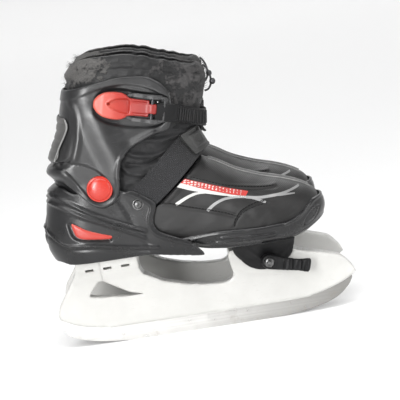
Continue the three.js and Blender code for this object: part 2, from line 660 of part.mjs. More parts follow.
function toeParts() {
  const trayFloor = sidePrism([[-60, FOOTBED], [150, FOOTBED], [150, 170], [-60, 170]], -60, 60);
  const cavity = toeBody(-SHELL_WALL).intersect(solidOf(trayFloor));
  const behind = sidePrism([[-44, 60], [-34, 60], [-34, 200], [-44, 200]], -60, 60);
  const shell = toeBody(0).subtract(solidOf(aboveRim(0))).subtract(cavity).subtract(solidOf(behind));
  const rear = sidePrism([
    [-36 + 1, 90], [150, 90], [150, 200], [34, 200], VAMP_REAR[1], VAMP_REAR[0],
  ], -60, 60);
  const vamp = footBody(0, -50, 127).subtract(footBody(-2.6, -52, 124.5))
    .intersect(solidOf(aboveRim(FIT))).intersect(solidOf(rear));
  return [
    ['toe_shell', geometryOf(shell), blackShell],
    ['vamp', geometryOf(vamp), blackFabric],
  ];
}

const CHEEK = 4;              // wall of the saddle beside the rail

function saddleParts() {
  const plateTop = SOLE_TOE - FIT;
  const outline = [
    [30, plateTop], [33, 74], [38, 66.5], [44, 59.5], [50, 55.5], [58, 53.5], [70, 53.5], [80, 58.5], [89, 65.5],
    [94, plateTop],
  ];
  const widened = HOLDER_HALF.map(([z, w]) => [w + CHEEK, z]);
  const seat = along(HOLDER_HALF, BOLT.z + SIZE_LEVER.hub) + CHEEK;
  const outside = [...widened, ...widened.map(([w, z]) => [-w, z]).reverse()];
  const saddle = solidOf(sidePrism(outline, -40, 40))
    .intersect(solidOf(frontPrism(outside, 20, 110)))
    .add(solidOf(rod(SIZE_LEVER.hub, -seat, seat, BOLT)))
    .subtract(solidOf(frontPrism(holderFront(SLIDE_GAP, RAIL_TOP + FIT), 10, 120)))
    .subtract(solidOf(rod(BOLT.radius + FIT, -40, 40, BOLT)));
  const { length, hub, thickness, tilt } = SIZE_LEVER;
  const leverBack = seat + FIT;
  const headBase = leverBack + thickness + FIT;
  const nutTop = -2 * headBase + thickness;
  const bolt = turned([
    [0, nutTop - 2.4], [BOLT.head, nutTop - 2.4], [BOLT.head, nutTop], [BOLT.radius, nutTop],
    [BOLT.radius, 0], [BOLT.head, 0], [BOLT.head * 0.8, 2.9], [0, 3.3],
  ], BOLT, -headBase);
  const arm = sidePrism([
    [-hub, -2], [-hub * 0.7, -hub * 0.7], [0, -hub], [12, -hub + 0.5], [length - 10, -5.6], [length, -6],
    [length + 1, 0], [length, 6], [length - 11, 4.6], [12, 5.6], [0, hub], [-hub * 0.7, hub * 0.7], [-hub, 2],
  ], -leverBack - thickness, -leverBack);
  arm.rotateY(-radians(tilt));
  arm.translate(BOLT.x, 0, BOLT.z);
  const lever = solidOf(arm).subtract(solidOf(rod(BOLT.radius + FIT, -60, 60, BOLT)));
  return [
    ['saddle', geometryOf(saddle), blackShell],
    ['adjust_bolt', bolt, darkMetal],
    ['adjust_lever', geometryOf(lever), strapPlastic],
  ];
}

// ---------------------------------------------------------------- assembly
function skate(side) {
  const boot = new THREE.Group();
  const parts = [
    ...bladeParts(), ...rearShellParts(), ...linerParts(), ...insoleParts(), ...strapParts(), ...cuffParts(),
    ...collarParts(), ...laceParts(), ...buckleParts(), ...ladderParts(), ...toeParts(), ...saddleParts(),
  ];
  for (const [name, shape, material] of parts) {
    const mesh = new THREE.Mesh(shape, material.clone());
    mesh.name = `${side}_${name}`;
    boot.add(mesh);
  }
  return boot;
}

const group = new THREE.Group();
const right = skate('right');
right.position.y = -SPACING / 2;
const left = skate('left');
left.scale.y = -1;
left.position.y = SPACING / 2;
group.add(right, left);

export default group;
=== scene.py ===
"""A pair of size-adjustable ice skates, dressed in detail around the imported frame.

Lengths in the classes are millimetres in a skate's own frame: x runs to the toes, z up, y = 0 is the
skate's centre plane and its outer side is at negative y. Every piece is modelled once and placed twice.
"""

import logging
import math
from dataclasses import dataclass
from enum import Enum
from typing import Callable, Sequence

import bmesh
import bpy
import numpy as np
from mathutils import Matrix, Vector


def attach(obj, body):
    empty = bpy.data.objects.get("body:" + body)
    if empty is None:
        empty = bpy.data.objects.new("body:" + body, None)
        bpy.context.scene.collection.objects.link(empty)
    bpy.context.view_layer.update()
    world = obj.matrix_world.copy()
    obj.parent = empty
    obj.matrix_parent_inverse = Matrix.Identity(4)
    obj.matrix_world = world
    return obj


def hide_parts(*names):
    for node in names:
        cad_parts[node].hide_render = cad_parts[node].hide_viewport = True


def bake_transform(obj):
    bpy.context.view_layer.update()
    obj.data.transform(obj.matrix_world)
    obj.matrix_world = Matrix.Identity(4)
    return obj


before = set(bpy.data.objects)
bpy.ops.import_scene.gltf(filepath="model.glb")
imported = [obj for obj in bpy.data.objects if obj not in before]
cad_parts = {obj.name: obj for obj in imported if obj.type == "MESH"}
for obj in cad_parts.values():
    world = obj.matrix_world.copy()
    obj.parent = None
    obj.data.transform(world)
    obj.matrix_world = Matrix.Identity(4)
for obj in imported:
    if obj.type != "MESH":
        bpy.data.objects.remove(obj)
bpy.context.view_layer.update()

LOG = logging.getLogger("ice_skates")
MM = 0.001
FIXED = "boots_and_blades"

MERGE = 0.05  # vertices nearer than this are one
CUT = 1e-5  # how near a cutting plane a vertex counts as on it
SIDES = (("outer", -1.0), ("inner", 1.0))

Array = np.ndarray
Mesh = bmesh.types.BMesh
Material = bpy.types.Material
Socket = bpy.types.NodeSocket
Pair = tuple[float, float]
Triple = tuple[float, float, float]
Pairs = Sequence[Pair]
Relief = Callable[[Array, Array], Array]
Surface = Callable[[Array, Array], Array]


class Side(Enum):
    """The two skates: name, place of the centre plane, and direction of the inner side."""

    RIGHT = ("right", -54.0, 1.0)
    LEFT = ("left", 54.0, -1.0)


# ---- curves, outlines and reliefs


def hermite(t: Array, first: Array, leaving: Array, second: Array, arriving: Array) -> Array:
    """A smooth step between two values.

    Args:
        t: share of the way.
        first, second: the values at both ends.
        leaving, arriving: the slopes there.

    Returns:
        The value at each share.
    """
    return (
        (2 * t**3 - 3 * t**2 + 1) * first + (t**3 - 2 * t**2 + t) * leaving
        + (3 * t**2 - 2 * t**3) * second + (t**3 - t**2) * arriving
    )


@dataclass(frozen=True)
class Curve:
    """A smooth curve through knots that doesn't overshoot between them."""

    knots: tuple[Pair, ...]

    def __call__(self, at: Array) -> Array:
        """Height of the curve.

        Args:
            at: places along the curve, clamped to its ends.

        Returns:
            The curve's value at each place.
        """
        x, y = (np.array(k, float) for k in zip(*self.knots))
        step = np.diff(x)
        rise = np.diff(y) / step
        slope = np.zeros_like(y)
        same = rise[:-1] * rise[1:] > 0
        w1, w2 = 2 * step[1:] + step[:-1], step[1:] + 2 * step[:-1]
        before, after = np.where(same, rise[:-1], 1), np.where(same, rise[1:], 1)
        slope[1:-1] = np.where(same, (w1 + w2) / (w1 / before + w2 / after), 0)
        slope[0], slope[-1] = rise[0], rise[-1]
        a = np.clip(np.asarray(at, float), x[0], x[-1])
        i = np.clip(np.searchsorted(x, a, side="right") - 1, 0, len(step) - 1)
        h, t = step[i], (a - x[i]) / step[i]
        return hermite(t, y[i], slope[i] * h, y[i + 1], slope[i + 1] * h)


def smooth(t: Array) -> Array:
    """Soft step from 0 to 1 while t goes from 0 to 1."""
    c = np.clip(t, 0.0, 1.0)
    return c * c * (3 - 2 * c)


def rounded(points: Pairs, spacing: float = 2.0, closed: bool = False, tension: float = 0.5) -> list[Pair]:
    """A smooth line through points.

    Args:
        points: corners of the line.
        spacing: distance between the new points.
        closed: whether the line returns to its start.
        tension: 0.5 for a full curve through the points, less for a straighter one.

    Returns:
        Points along the smooth line.
    """
    p = np.array(points, float)
    n = len(p)
    out: list[Pair] = []
    for i in range(n if closed else n - 1):
        near = range(i - 1, i + 3)
        a, b, c, d = (p[k % n if closed else min(max(k, 0), n - 1)] for k in near)
        steps = max(1, int(np.linalg.norm(c - b) / spacing))
        for k in range(steps):
            t = k / steps
            out.append(tuple(float(v) for v in hermite(t, b, tension * (c - a), c, tension * (d - b))))
    if not closed:
        out.append(tuple(float(v) for v in p[-1]))
    return out


def line_distance(x: Array, z: Array, line: Pairs, closed: bool = False) -> Array:
    """Distance from places to a line.

    Args:
        x, z: the places.
        line: corners of the line.
        closed: whether the line returns to its start.

    Returns:
        The shortest distance for each place.
    """
    corners = list(line) + ([line[0]] if closed else [])
    best = np.full(np.shape(x), 1e9)
    for (ax, az), (bx, bz) in zip(corners, corners[1:]):
        dx, dz = bx - ax, bz - az
        t = np.clip(((x - ax) * dx + (z - az) * dz) / max(dx * dx + dz * dz, 1e-9), 0, 1)
        best = np.minimum(best, np.hypot(x - ax - t * dx, z - az - t * dz))
    return best


def inside(x: Array, z: Array, outline: Pairs) -> Array:
    """Whether places lie inside a closed outline.

    Args:
        x, z: the places.
        outline: corners of the outline.

    Returns:
        True for each place inside.
    """
    result = np.zeros(np.shape(x), bool)
    for (ax, az), (bx, bz) in zip(outline, list(outline[1:]) + [outline[0]]):
        crosses = (az > z) != (bz > z)
        edge = ax + (z - az) * (bx - ax) / (bz - az if bz != az else 1e-9)
        result ^= crosses & (x < edge)
    return result


def ridge(line: Pairs, width: float, height: float) -> Relief:
    """A rounded ridge along a line, or a groove when height is negative.

    Args:
        line: centre line of the ridge.
        width: distance from the centre line to its foot.
        height: how far it stands proud.

    Returns:
        The relief.
    """
    path = rounded(line, 3.0)
    return lambda x, z: height * smooth(1.0 - line_distance(x, z, path) / width)


def field_of(outline: Pairs, height: float, edge: float) -> Relief:
    """A raised panel, or a recess when height is negative.

    Args:
        outline: closed edge of the panel.
        height: how far it stands proud.
        edge: width of its sloping border, inside the outline.

    Returns:
        The relief.
    """
    return field_of_box(rounded(outline, 3.0, closed=True), height, edge)


def field_of_box(box: Pairs, height: float, edge: float) -> Relief:
    """A panel or recess like field_of, with its corners left sharp."""
    return lambda x, z: np.where(inside(x, z, box), height * smooth(line_distance(x, z, box, True) / edge), 0.0)


def rolled(outline: Pairs, radius: float) -> Relief:
    """The way a moulded edge rounds over towards its outline.

    Args:
        outline: closed edge.
        radius: radius of the rounding.

    Returns:
        The relief, negative near the edge.
    """

    def lift(x: Array, z: Array) -> Array:
        gap = np.clip(radius - line_distance(x, z, outline, True), 0, radius)
        return -(radius - np.sqrt(np.maximum(radius**2 - gap**2, 0)))

    return lift


def wave_field(length: float, seed: float) -> Relief:
    """Soft unevenness for hand-sewn or padded surfaces.

    Args:
        length: size of the waves.
        seed: shifts the pattern.

    Returns:
        A relief between -1 and 1.
    """
    k = 2 * math.pi / length

    def lift(x: Array, z: Array) -> Array:
        a = np.sin(k * (x + 0.6 * z) + seed) + np.sin(k * (0.7 * z - 0.5 * x) * 1.7 + 2.1 * seed)
        b = np.sin(k * (x * 0.4 - z) * 2.3 + 3.7 * seed + 1.3 * np.sin(k * x * 0.9 + seed))
        return (a + b) / 3

    return lift


# ---- meshes


def cut_sheet(outline: Pairs, step: Pair) -> Mesh:
    """A flat sheet cut to an outline and divided by a grid.

    Args:
        outline: closed edge in the sheet's plane.
        step: distance between the grid's lines in each direction.

    Returns:
        The sheet in the plane z = 0.
    """
    bm = bmesh.new()
    bm.faces.new([bm.verts.new((u, v, 0)) for u, v in outline])
    low, high = np.min(outline, 0), np.max(outline, 0)
    for axis in (0, 1):
        count = int((high[axis] - low[axis]) / step[axis])
        for k in range(1, count + 1):
            place, normal = [0.0, 0.0, 0.0], [0.0, 0.0, 0.0]
            place[axis], normal[axis] = float(low[axis] + k * step[axis]), 1.0
            bisect(bm, place, normal)
    weld(bm, min(step) * 0.18)
    return bm


def grid_sheet(u: Pair, v: Pair, counts: tuple[int, int]) -> Mesh:
    """A rectangular grid in the plane z = 0.

    Args:
        u, v: range of the grid in each direction.
        counts: number of cells in each direction.

    Returns:
        The grid.
    """
    bm = bmesh.new()
    bmesh.ops.create_grid(bm, x_segments=counts[0], y_segments=counts[1], size=0.5)
    for vert in bm.verts:
        vert.co.x = u[0] + (vert.co.x + 0.5) * (u[1] - u[0])
        vert.co.y = v[0] + (vert.co.y + 0.5) * (v[1] - v[0])
    return bm


def coordinates(bm: Mesh) -> Array:
    """Places of a mesh's vertices, one row each."""
    return np.array([v.co[:] for v in bm.verts], float)


def move_to(bm: Mesh, places: Array) -> None:
    """Moves each vertex to its row of places."""
    for vert, place in zip(bm.verts, places):
        vert.co = place


def carry(bm: Mesh, matrix: Matrix) -> None:
    """Moves a mesh by a matrix."""
    bmesh.ops.transform(bm, matrix=matrix, verts=bm.verts[:])


def weld(bm: Mesh, gap: float = MERGE) -> None:
    """Merges vertices that lie within a gap of each other."""
    bmesh.ops.remove_doubles(bm, verts=bm.verts[:], dist=gap)


def settle(bm: Mesh) -> None:
    """Turns a closed mesh's faces outwards."""
    bmesh.ops.recalc_face_normals(bm, faces=bm.faces[:])


def turn_over(bm: Mesh) -> None:
    """Turns every face the other way."""
    bmesh.ops.reverse_faces(bm, faces=bm.faces[:])


def bisect(bm: Mesh, point: Sequence[float], normal: Sequence[float]) -> None:
    """Divides a mesh along a plane."""
    geometry = bm.verts[:] + bm.edges[:] + bm.faces[:]
    bmesh.ops.bisect_plane(bm, geom=geometry, dist=CUT, plane_co=point, plane_no=normal)


def lay_on(bm: Mesh, surface: Surface, lift: Relief, centre: Triple = (-40.0, 0.0, 130.0)) -> None:
    """Lays a flat sheet on a surface and raises it along the surface's normal.

    Args:
        bm: the sheet, whose x and y are the surface's two parameters.
        surface: gives the place for each pair of parameters.
        lift: distance to rise, from the place's own x and z.
        centre: a point inside the shape, for the direction of the normals.
    """
    uv = coordinates(bm)
    u, v = uv[:, 0], uv[:, 1]
    layer = bm.loops.layers.uv.new("sheet")
    for face in bm.faces:
        for loop in face.loops:
            loop[layer].uv = (loop.vert.co.x * MM * 10, loop.vert.co.y * MM * 10)
    at = surface(u, v)
    d = 1e-3
    du, dv = surface(u + d, v) - surface(u - d, v), surface(u, v + d) - surface(u, v - d)
    normal = np.cross(du, dv)
    size = np.linalg.norm(normal, axis=1, keepdims=True)
    normal = normal / np.where(size < 1e-12, 1, size)
    flip = np.where(((at - centre) * normal).sum(1) < 0, -1.0, 1.0)[:, None]
    if np.mean(flip) < 0:
        turn_over(bm)
    normal *= flip
    move_to(bm, at + normal * lift(at[:, 0], at[:, 2])[:, None])
    face_out(bm, centre)


def face_out(bm: Mesh, centre: Triple) -> None:
    """Turns an open sheet's faces so that most point away from a centre.

    Args:
        bm: the sheet.
        centre: a point on its inner side.
    """
    score = 0.0
    middle = Vector(centre)
    for face in bm.faces:
        face.normal_update()
        score += face.calc_area() * (1 if (face.calc_center_median() - middle).dot(face.normal) > 0 else -1)
    if score < 0:
        turn_over(bm)


def thicken(bm: Mesh, depth: float) -> None:
    """Gives an open sheet a wall on its inner side, and closes its edge.

    Args:
        bm: the sheet, with its faces outwards.
        depth: thickness of the wall.
    """
    bmesh.ops.solidify(bm, geom=bm.faces[:], thickness=depth)
    settle(bm)


def plate(outline: Pairs, step: float, top: Relief, bottom: float, corner: float = 0.0) -> Mesh:
    """A solid plate lying in its own plane, with a shaped top.

    Args:
        outline: closed edge.
        step: size of its cells.
        top: height of the top face.
        bottom: height of the flat underside.
        corner: radius over which the top rounds down to the edge.

    Returns:
        The closed plate, with height along z.
    """
    bm = cut_sheet(outline, (step, step))
    for face in bm.faces:
        face.normal_update()
    if sum(f.normal.z for f in bm.faces) > 0:
        turn_over(bm)
    made = bmesh.ops.extrude_face_region(bm, geom=bm.faces[:])["geom"]
    raised = [g for g in made if isinstance(g, bmesh.types.BMVert)]
    lifted = set(raised)
    flat = np.array([v.co[:2] for v in raised])
    gap = np.clip(corner - line_distance(flat[:, 0], flat[:, 1], outline, True), 0, corner)
    drop = corner - np.sqrt(np.maximum(corner**2 - gap**2, 0)) if corner else np.zeros(len(flat))
    heights = top(flat[:, 0], flat[:, 1]) - drop
    for vert, height in zip(raised, heights):
        vert.co.z = float(height)
    for vert in bm.verts:
        if vert not in lifted:
            vert.co.z = bottom
    settle(bm)
    return bm


def turned(profile: Pairs, steps: int = 48) -> Mesh:
    """A shape turned round the z axis.

    Args:
        profile: radius and height of each ring.
        steps: faces around.

    Returns:
        The closed shape, its poles merged.
    """
    bm = bmesh.new()
    verts = [bm.verts.new((r, 0, h)) for r, h in profile]
    edges = [bm.edges.new(pair) for pair in zip(verts, verts[1:])]
    bmesh.ops.spin(
        bm, geom=verts + edges, cent=(0, 0, 0), axis=(0, 0, 1), angle=2 * math.pi, steps=steps, use_merge=True
    )
    weld(bm, 1e-4)
    settle(bm)
    return bm


def turned_at(profile: Pairs, steps: int, at: Triple, sign: float) -> Mesh:
    """A turned shape whose axis runs across the skate.

    Args:
        profile: radius and height of each ring.
        steps: faces around.
        at: place of its foot.
        sign: -1 when it points to the outer side, 1 to the inner.

    Returns:
        The closed shape.
    """
    bm = turned(profile, steps)
    carry(bm, Matrix.Translation(at) @ Matrix.Rotation(sign * -math.pi / 2, 4, "X"))
    return bm


def flat(height: float) -> Relief:
    """A relief of one height."""
    return lambda x, z: np.full(x.shape, height)


def join(*meshes: Mesh) -> Mesh:
    """Puts several meshes together in the first one.

    Args:
        *meshes: the meshes; all but the first are freed.

    Returns:
        The first mesh, holding them all.
    """
    first = meshes[0]
    for other in meshes[1:]:
        spare = bpy.data.meshes.new("spare")
        other.to_mesh(spare)
        first.from_mesh(spare)
        other.free()
        bpy.data.meshes.remove(spare)
    return first


def tube(path: Sequence[Sequence[float]], radius: float, sides: int = 8, taper: float = 1.0) -> Mesh:
    """A round bar along a path, with rounded ends.

    Args:
        path: points along its middle.
        radius: its radius.
        sides: faces around.
        taper: radius at the far end as a share of the first.

    Returns:
        The closed bar.
    """
    p = np.array(path, float)
    bm = bmesh.new()
    rings: list[list[bmesh.types.BMVert]] = []
    tangents = np.gradient(p, axis=0)
    side_way = Vector((0, 1, 0)) if abs(tangents[0][1]) < 0.9 * np.linalg.norm(tangents[0]) else Vector((1, 0, 0))
    for i, at in enumerate(p):
        t = Vector(tangents[i]).normalized()
        side_way = (side_way - t * side_way.dot(t)).normalized()
        other = t.cross(side_way)
        share = i / (len(p) - 1)
        r = radius * (1 + (taper - 1) * share)
        rings.append([
            bm.verts.new(Vector(at) + (side_way * math.cos(a) + other * math.sin(a)) * r)
            for a in (2 * math.pi * k / sides for k in range(sides))
        ])
    loops = [[bm.edges.new((ring[k], ring[(k + 1) % sides])) for k in range(sides)] for ring in rings]
    for first, second in zip(loops, loops[1:]):
        bmesh.ops.bridge_loops(bm, edges=first + second)
    for ring, way in ((rings[0], -1), (rings[-1], 1)):
        end = bm.faces.new(ring)
        bmesh.ops.inset_region(bm, faces=[end], thickness=0.35 * radius, depth=0)
        tip = tangents[0 if way < 0 else -1]
        push = Vector(tip).normalized() * way * radius * 0.45
        bmesh.ops.translate(bm, verts=end.verts[:], vec=push)
    settle(bm)
    return bm


def dashes(path: Sequence[Sequence[float]], length: float, gap: float, radius: float) -> Mesh:
    """A row of stitches along a path.

    Args:
        path: points of the seam.
        length: length of one stitch.
        gap: space between stitches.
        radius: radius of the thread.

    Returns:
        All the stitches as one mesh.
    """
    p = np.array(path, float)
    run = np.concatenate([[0], np.cumsum(np.linalg.norm(np.diff(p, axis=0), axis=1))])
    along = lambda s: np.array([np.interp(s, run, p[:, k]) for k in range(3)])
    parts = []
    start = gap
    while start + length < run[-1]:
        parts.append(tube([along(start), along(start + length / 2), along(start + length)], radius, 5))
        start += length + gap
    return join(*parts)


def place(
    bm: Mesh,
    name: str,
    body: str,
    finish: "Finish",
    slot: str,
    stands_for: Sequence[str] = (),
    sharp: float = 40.0,
    bevel: float = 0.0,
    shape: Callable[[bpy.types.Object, Side], None] | None = None,
    ride: bool = True,
) -> list[bpy.types.Object]:
    """Makes a piece on both skates.

    Args:
        bm: the piece in a skate's own frame; it is freed.
        name: the piece's name without its side.
        body: the moving body it rides on, without its side, or the fixed one.
        finish: its material.
        slot: the record's material slot; not used.
        stands_for: the frame's nodes that it replaces, without their side.
        sharp: edges that turn more than this many degrees stay crisp.
        bevel: width of a bevel on those edges.
        shape: further work on each object before it rides.
        ride: whether it rides on one body; a piece that lies between two does not.

    Returns:
        The two objects.
    """
    made = []
    for side in Side:
        label, offset, inward = side.value
        mesh = bpy.data.meshes.new(f"{label}_{name}")
        copy = bm.copy()
        carry(copy, Matrix.Translation((0, offset * MM, 0)) @ Matrix.Diagonal((MM, inward * MM, MM, 1)))
        if inward < 0:
            turn_over(copy)
        copy.normal_update()
        limit = math.radians(sharp)
        for edge in copy.edges:
            edge.smooth = len(edge.link_faces) != 2 or edge.calc_face_angle(0.0) < limit
        for face in copy.faces:
            face.smooth = True
        copy.to_mesh(mesh)
        copy.free()
        mesh.materials.append(finish.material())
        obj = bpy.data.objects.new(f"{label}_{name}", mesh)
        bpy.context.scene.collection.objects.link(obj)
        if bevel:
            soften = obj.modifiers.new("edges", "BEVEL")
            soften.width, soften.segments, soften.limit_method = bevel * MM, 3, "ANGLE"
            soften.angle_limit, soften.harden_normals = limit, True
        if shape:
            shape(obj, side)
        if stands_for:
            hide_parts(*[f"{label}_{node}" for node in stands_for])
        if ride:
            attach(obj, body if body == FIXED else f"{label}_{body}")
        made.append(obj)
    bm.free()
    LOG.info("placed %s", name)
    return made


# ---- finishes


class NodeSheet:
    """A new node material, with short ways to add the nodes that the finishes share."""

    def __init__(self, name: str) -> None:
        """Starts an empty material called name."""
        self.made = bpy.data.materials.new(name)
        self.made.use_nodes = True
        self.tree = self.made.node_tree
        self.shader = self.tree.nodes["Principled BSDF"]
        self.place = self.tree.nodes.new("ShaderNodeTexCoord")

    def add(self, kind: str, **values: object) -> bpy.types.Node:
        """A node of a kind, with its properties or input values set by name."""
        node = self.tree.nodes.new("ShaderNode" + kind)
        for key, value in values.items():
            if hasattr(node, key):
                setattr(node, key, value)
            else:
                self.put(node.inputs[key.replace("_", " ")], value)
        return node

    def put(self, socket: Socket, value: object) -> None:
        """Links a socket to a value when it is a socket, or else sets it."""
        if isinstance(value, Socket):
            self.tree.links.new(value, socket)
        else:
            socket.default_value = value

    def spot(self, stretch: Triple = (1, 1, 1), turn: float = 0.0, uv: bool = False) -> Socket:
        """Coordinates for a pattern.

        Args:
            stretch: scale of each axis.
            turn: turn about the y axis, in radians.
            uv: whether to follow the piece's own map.

        Returns:
            The coordinates.
        """
        node = self.add("Mapping", Scale=stretch, Rotation=(0, turn, 0))
        self.put(node.inputs["Vector"], self.place.outputs["UV" if uv else "Object"])
        return node.outputs[0]

    def noise(self, spot: Socket, scale: float, detail: float = 4.0, rough: float = 0.55) -> Socket:
        """Noise at a scale, as a factor."""
        return self.add("TexNoise", Vector=spot, Scale=scale, Detail=detail, Roughness=rough).outputs["Fac"]

    def cells(self, spot: Socket, scale: float, feature: str = "F1") -> Socket:
        """Distance in a pattern of cells."""
        return self.add("TexVoronoi", feature=feature, Vector=spot, Scale=scale).outputs["Distance"]

    def ramp(self, factor: Socket, *stops: tuple[float, Triple]) -> Socket:
        """Colours along a factor, from stops of place and colour."""
        node = self.add("ValToRGB")
        self.put(node.inputs[0], factor)
        marks = node.color_ramp.elements
        for _ in range(len(stops) - 2):
            marks.new(0.5)
        for mark, (at, colour) in zip(marks, stops):
            mark.position, mark.color = at, (*colour, 1)
        return node.outputs[0]

    def level(self, factor: Socket, low: float, high: float, start: float = 0.0, end: float = 1.0) -> Socket:
        """A factor's range from low to high, spread over start to end."""
        node = self.add("MapRange", clamp=True)
        for socket, value in zip(node.inputs, (factor, low, high, start, end)):
            self.put(socket, value)
        return node.outputs[0]

    def blend(self, factor: object, first: object, second: object, way: str = "MIX") -> Socket:
        """A mix of two colours."""
        node = self.add("Mix", data_type="RGBA", blend_type=way)
        for index, value in ((0, factor), (6, first), (7, second)):
            value = (*value, 1) if isinstance(value, tuple) and len(value) == 3 else value
            self.put(node.inputs[index], value)
        return node.outputs[2]

    def sum(self, way: str, first: object, second: object) -> Socket:
        """A sum, product or other operation on two numbers."""
        node = self.add("Math", operation=way)
        self.put(node.inputs[0], first)
        self.put(node.inputs[1], second)
        return node.outputs[0]

    def bump(self, height: Socket, depth: float, strength: float = 1.0, under: Socket | None = None) -> Socket:
        """A normal from a height.

        Args:
            height: the relief.
            depth: its depth in metres.
            strength: how much of it shows.
            under: a normal to add it to.

        Returns:
            The normal.
        """
        node = self.add("Bump", Height=height, Distance=depth, Strength=strength)
        if under is not None:
            self.put(node.inputs["Normal"], under)
        return node.outputs[0]

    def finish(self, colour: object, rough: object, normal: Socket | None = None, **constants: float) -> None:
        """Connects the shader.

        Args:
            colour: base colour.
            rough: roughness.
            normal: surface normal.
            **constants: numbers set on the shader's own sockets.
        """
        self.put(self.shader.inputs["Base Color"], (*colour, 1) if isinstance(colour, tuple) else colour)
        self.put(self.shader.inputs["Roughness"], rough)
        if normal is not None:
            self.put(self.shader.inputs["Normal"], normal)
        for key, value in constants.items():
            self.put(self.shader.inputs[key.replace("_", " ")], value)


@dataclass(frozen=True)
class Finish:
    """What every finish has: a name, and a material made once."""

    name: str

    def material(self) -> Material:
        """The finish's material, made the first time it is asked for."""
        made = bpy.data.materials.get(self.name)
        if made is None:
            sheet = NodeSheet(self.name)
            self.build(sheet)
            made = sheet.made
        return made

    def build(self, sheet: NodeSheet) -> None:
        """Builds the nodes; each finish has its own."""
        raise NotImplementedError


@dataclass(frozen=True)
class Moulded(Finish):
    """Moulded plastic: fine grain, cloudy gloss, long scuffs and paler worn edges."""

    deep: Triple
    pale: Triple
    worn: Triple
    rough: float = 0.38
    spread: float = 0.16
    grain: float = 0.00004
    scuffs: float = 0.5
    specular: float = 0.5

    def build(self, sheet: NodeSheet) -> None:
        """Builds the plastic.

        Args:
            sheet: the new material.
        """
        spot = sheet.spot()
        cloud = sheet.noise(spot, 22, 5, 0.6)
        fine = sheet.noise(spot, 1500, 2)
        scratch = sheet.noise(sheet.spot((1, 1, 14), 0.5), 95, 3, 0.7)
        lines = sheet.level(scratch, 0.635, 0.66)
        marks = sheet.sum("MULTIPLY", lines, sheet.level(cloud, 0.5, 0.62))
        base = sheet.ramp(cloud, (0.32, self.deep), (0.72, self.pale))
        edge = sheet.level(sheet.add("NewGeometry").outputs["Pointiness"], 0.535, 0.62, 0, 0.55)
        rubbed = sheet.sum("MULTIPLY", edge, sheet.level(sheet.noise(spot, 160, 4), 0.42, 0.6))
        colour = sheet.blend(rubbed, base, self.worn)
        colour = sheet.blend(sheet.sum("MULTIPLY", marks, self.scuffs), colour, self.worn)
        least = self.rough - self.spread / 2
        gloss = sheet.level(sheet.noise(spot, 60, 6, 0.65), 0.3, 0.7, least, least + self.spread)
        gloss = sheet.sum("ADD", gloss, sheet.sum("MULTIPLY", marks, 0.2))
        normal = sheet.bump(fine, self.grain)
        normal = sheet.bump(marks, 0.00005, 0.6, normal)
        normal = sheet.bump(sheet.noise(spot, 60, 2), 0.0001, 0.4, normal)
        sheet.finish(colour, gloss, normal, Specular_IOR_Level=self.specular)


@dataclass(frozen=True)
class Steel(Finish):
    """Ground runner steel: lines along the blade, dull stains near the ice edge, and a painted darker reflection
    towards the toe.
    """

    def build(self, sheet: NodeSheet) -> None:
        """Builds the steel.

        Args:
            sheet: the new material.
        """
        spot = sheet.spot()
        lines = sheet.noise(sheet.spot((3, 40, 900)), 1.6, 6, 0.7)
        stain = sheet.noise(spot, 46, 7, 0.7)
        colour = sheet.ramp(lines, (0.3, (0.56, 0.555, 0.54)), (0.7, (0.74, 0.735, 0.72)))
        along = sheet.add("SeparateXYZ", Vector=spot).outputs[0]
        # painted reflection: the steel's colour darkens towards the toe, standing in for a darker surround seen in it
        colour = sheet.blend(sheet.level(along, -0.02, 0.135, 0.12, 0.85), colour, (0.2, 0.195, 0.185))
        colour = sheet.blend(sheet.level(stain, 0.6, 0.76, 0, 0.45), colour, (0.26, 0.22, 0.18))
        rough = sheet.level(sheet.noise(spot, 150, 4), 0.3, 0.7, 0.26, 0.44)
        normal = sheet.bump(lines, 0.00006)
        sheet.finish(colour, rough, normal, Metallic=1.0)


@dataclass(frozen=True)
class Cloth(Finish):
    """Woven or knitted cloth on its own map: threads in both directions, nap and faded patches."""

    deep: Triple
    pale: Triple
    threads: float = 900.0
    depth: float = 0.0003
    rough: float = 0.82
    sheen: float = 0.25
    slant: float = 1.0
    specular: float = 0.3

    def build(self, sheet: NodeSheet) -> None:
        """Builds the cloth.

        Args:
            sheet: the new material.
        """
        spot, own = sheet.spot(), sheet.spot(uv=True)
        parts = sheet.add("SeparateXYZ", Vector=own)
        twist = sheet.sum("MULTIPLY", sheet.noise(spot, 240, 2), 0.9)
        across = sheet.sum("ADD", sheet.sum("MULTIPLY", parts.outputs[0], self.threads), twist)
        along = sheet.sum("ADD", sheet.sum("MULTIPLY", parts.outputs[1], self.threads * self.slant), twist)
        warp, weft = sheet.sum("SINE", across, 0.0), sheet.sum("SINE", along, 0.0)
        weave = sheet.sum("MULTIPLY", warp, weft)
        fade = sheet.noise(spot, 26, 6, 0.62)
        fibre = sheet.noise(spot, 1300, 3, 0.7)
        height = sheet.sum("ADD", weave, sheet.sum("MULTIPLY", fibre, 1.4))
        base = sheet.ramp(fade, (0.34, self.deep), (0.7, self.pale))
        colour = sheet.blend(sheet.level(height, -0.4, 1.8, 0.0, 0.5), base, self.pale)
        normal = sheet.bump(height, self.depth)
        normal = sheet.bump(sheet.noise(spot, 120, 4), 0.0007, 0.7, normal)
        gloss = sheet.level(fade, 0.3, 0.7, self.rough - 0.08, self.rough + 0.06)
        sheet.finish(
            colour, gloss, normal, Sheen_Weight=self.sheen, Sheen_Roughness=0.5, Specular_IOR_Level=self.specular
        )


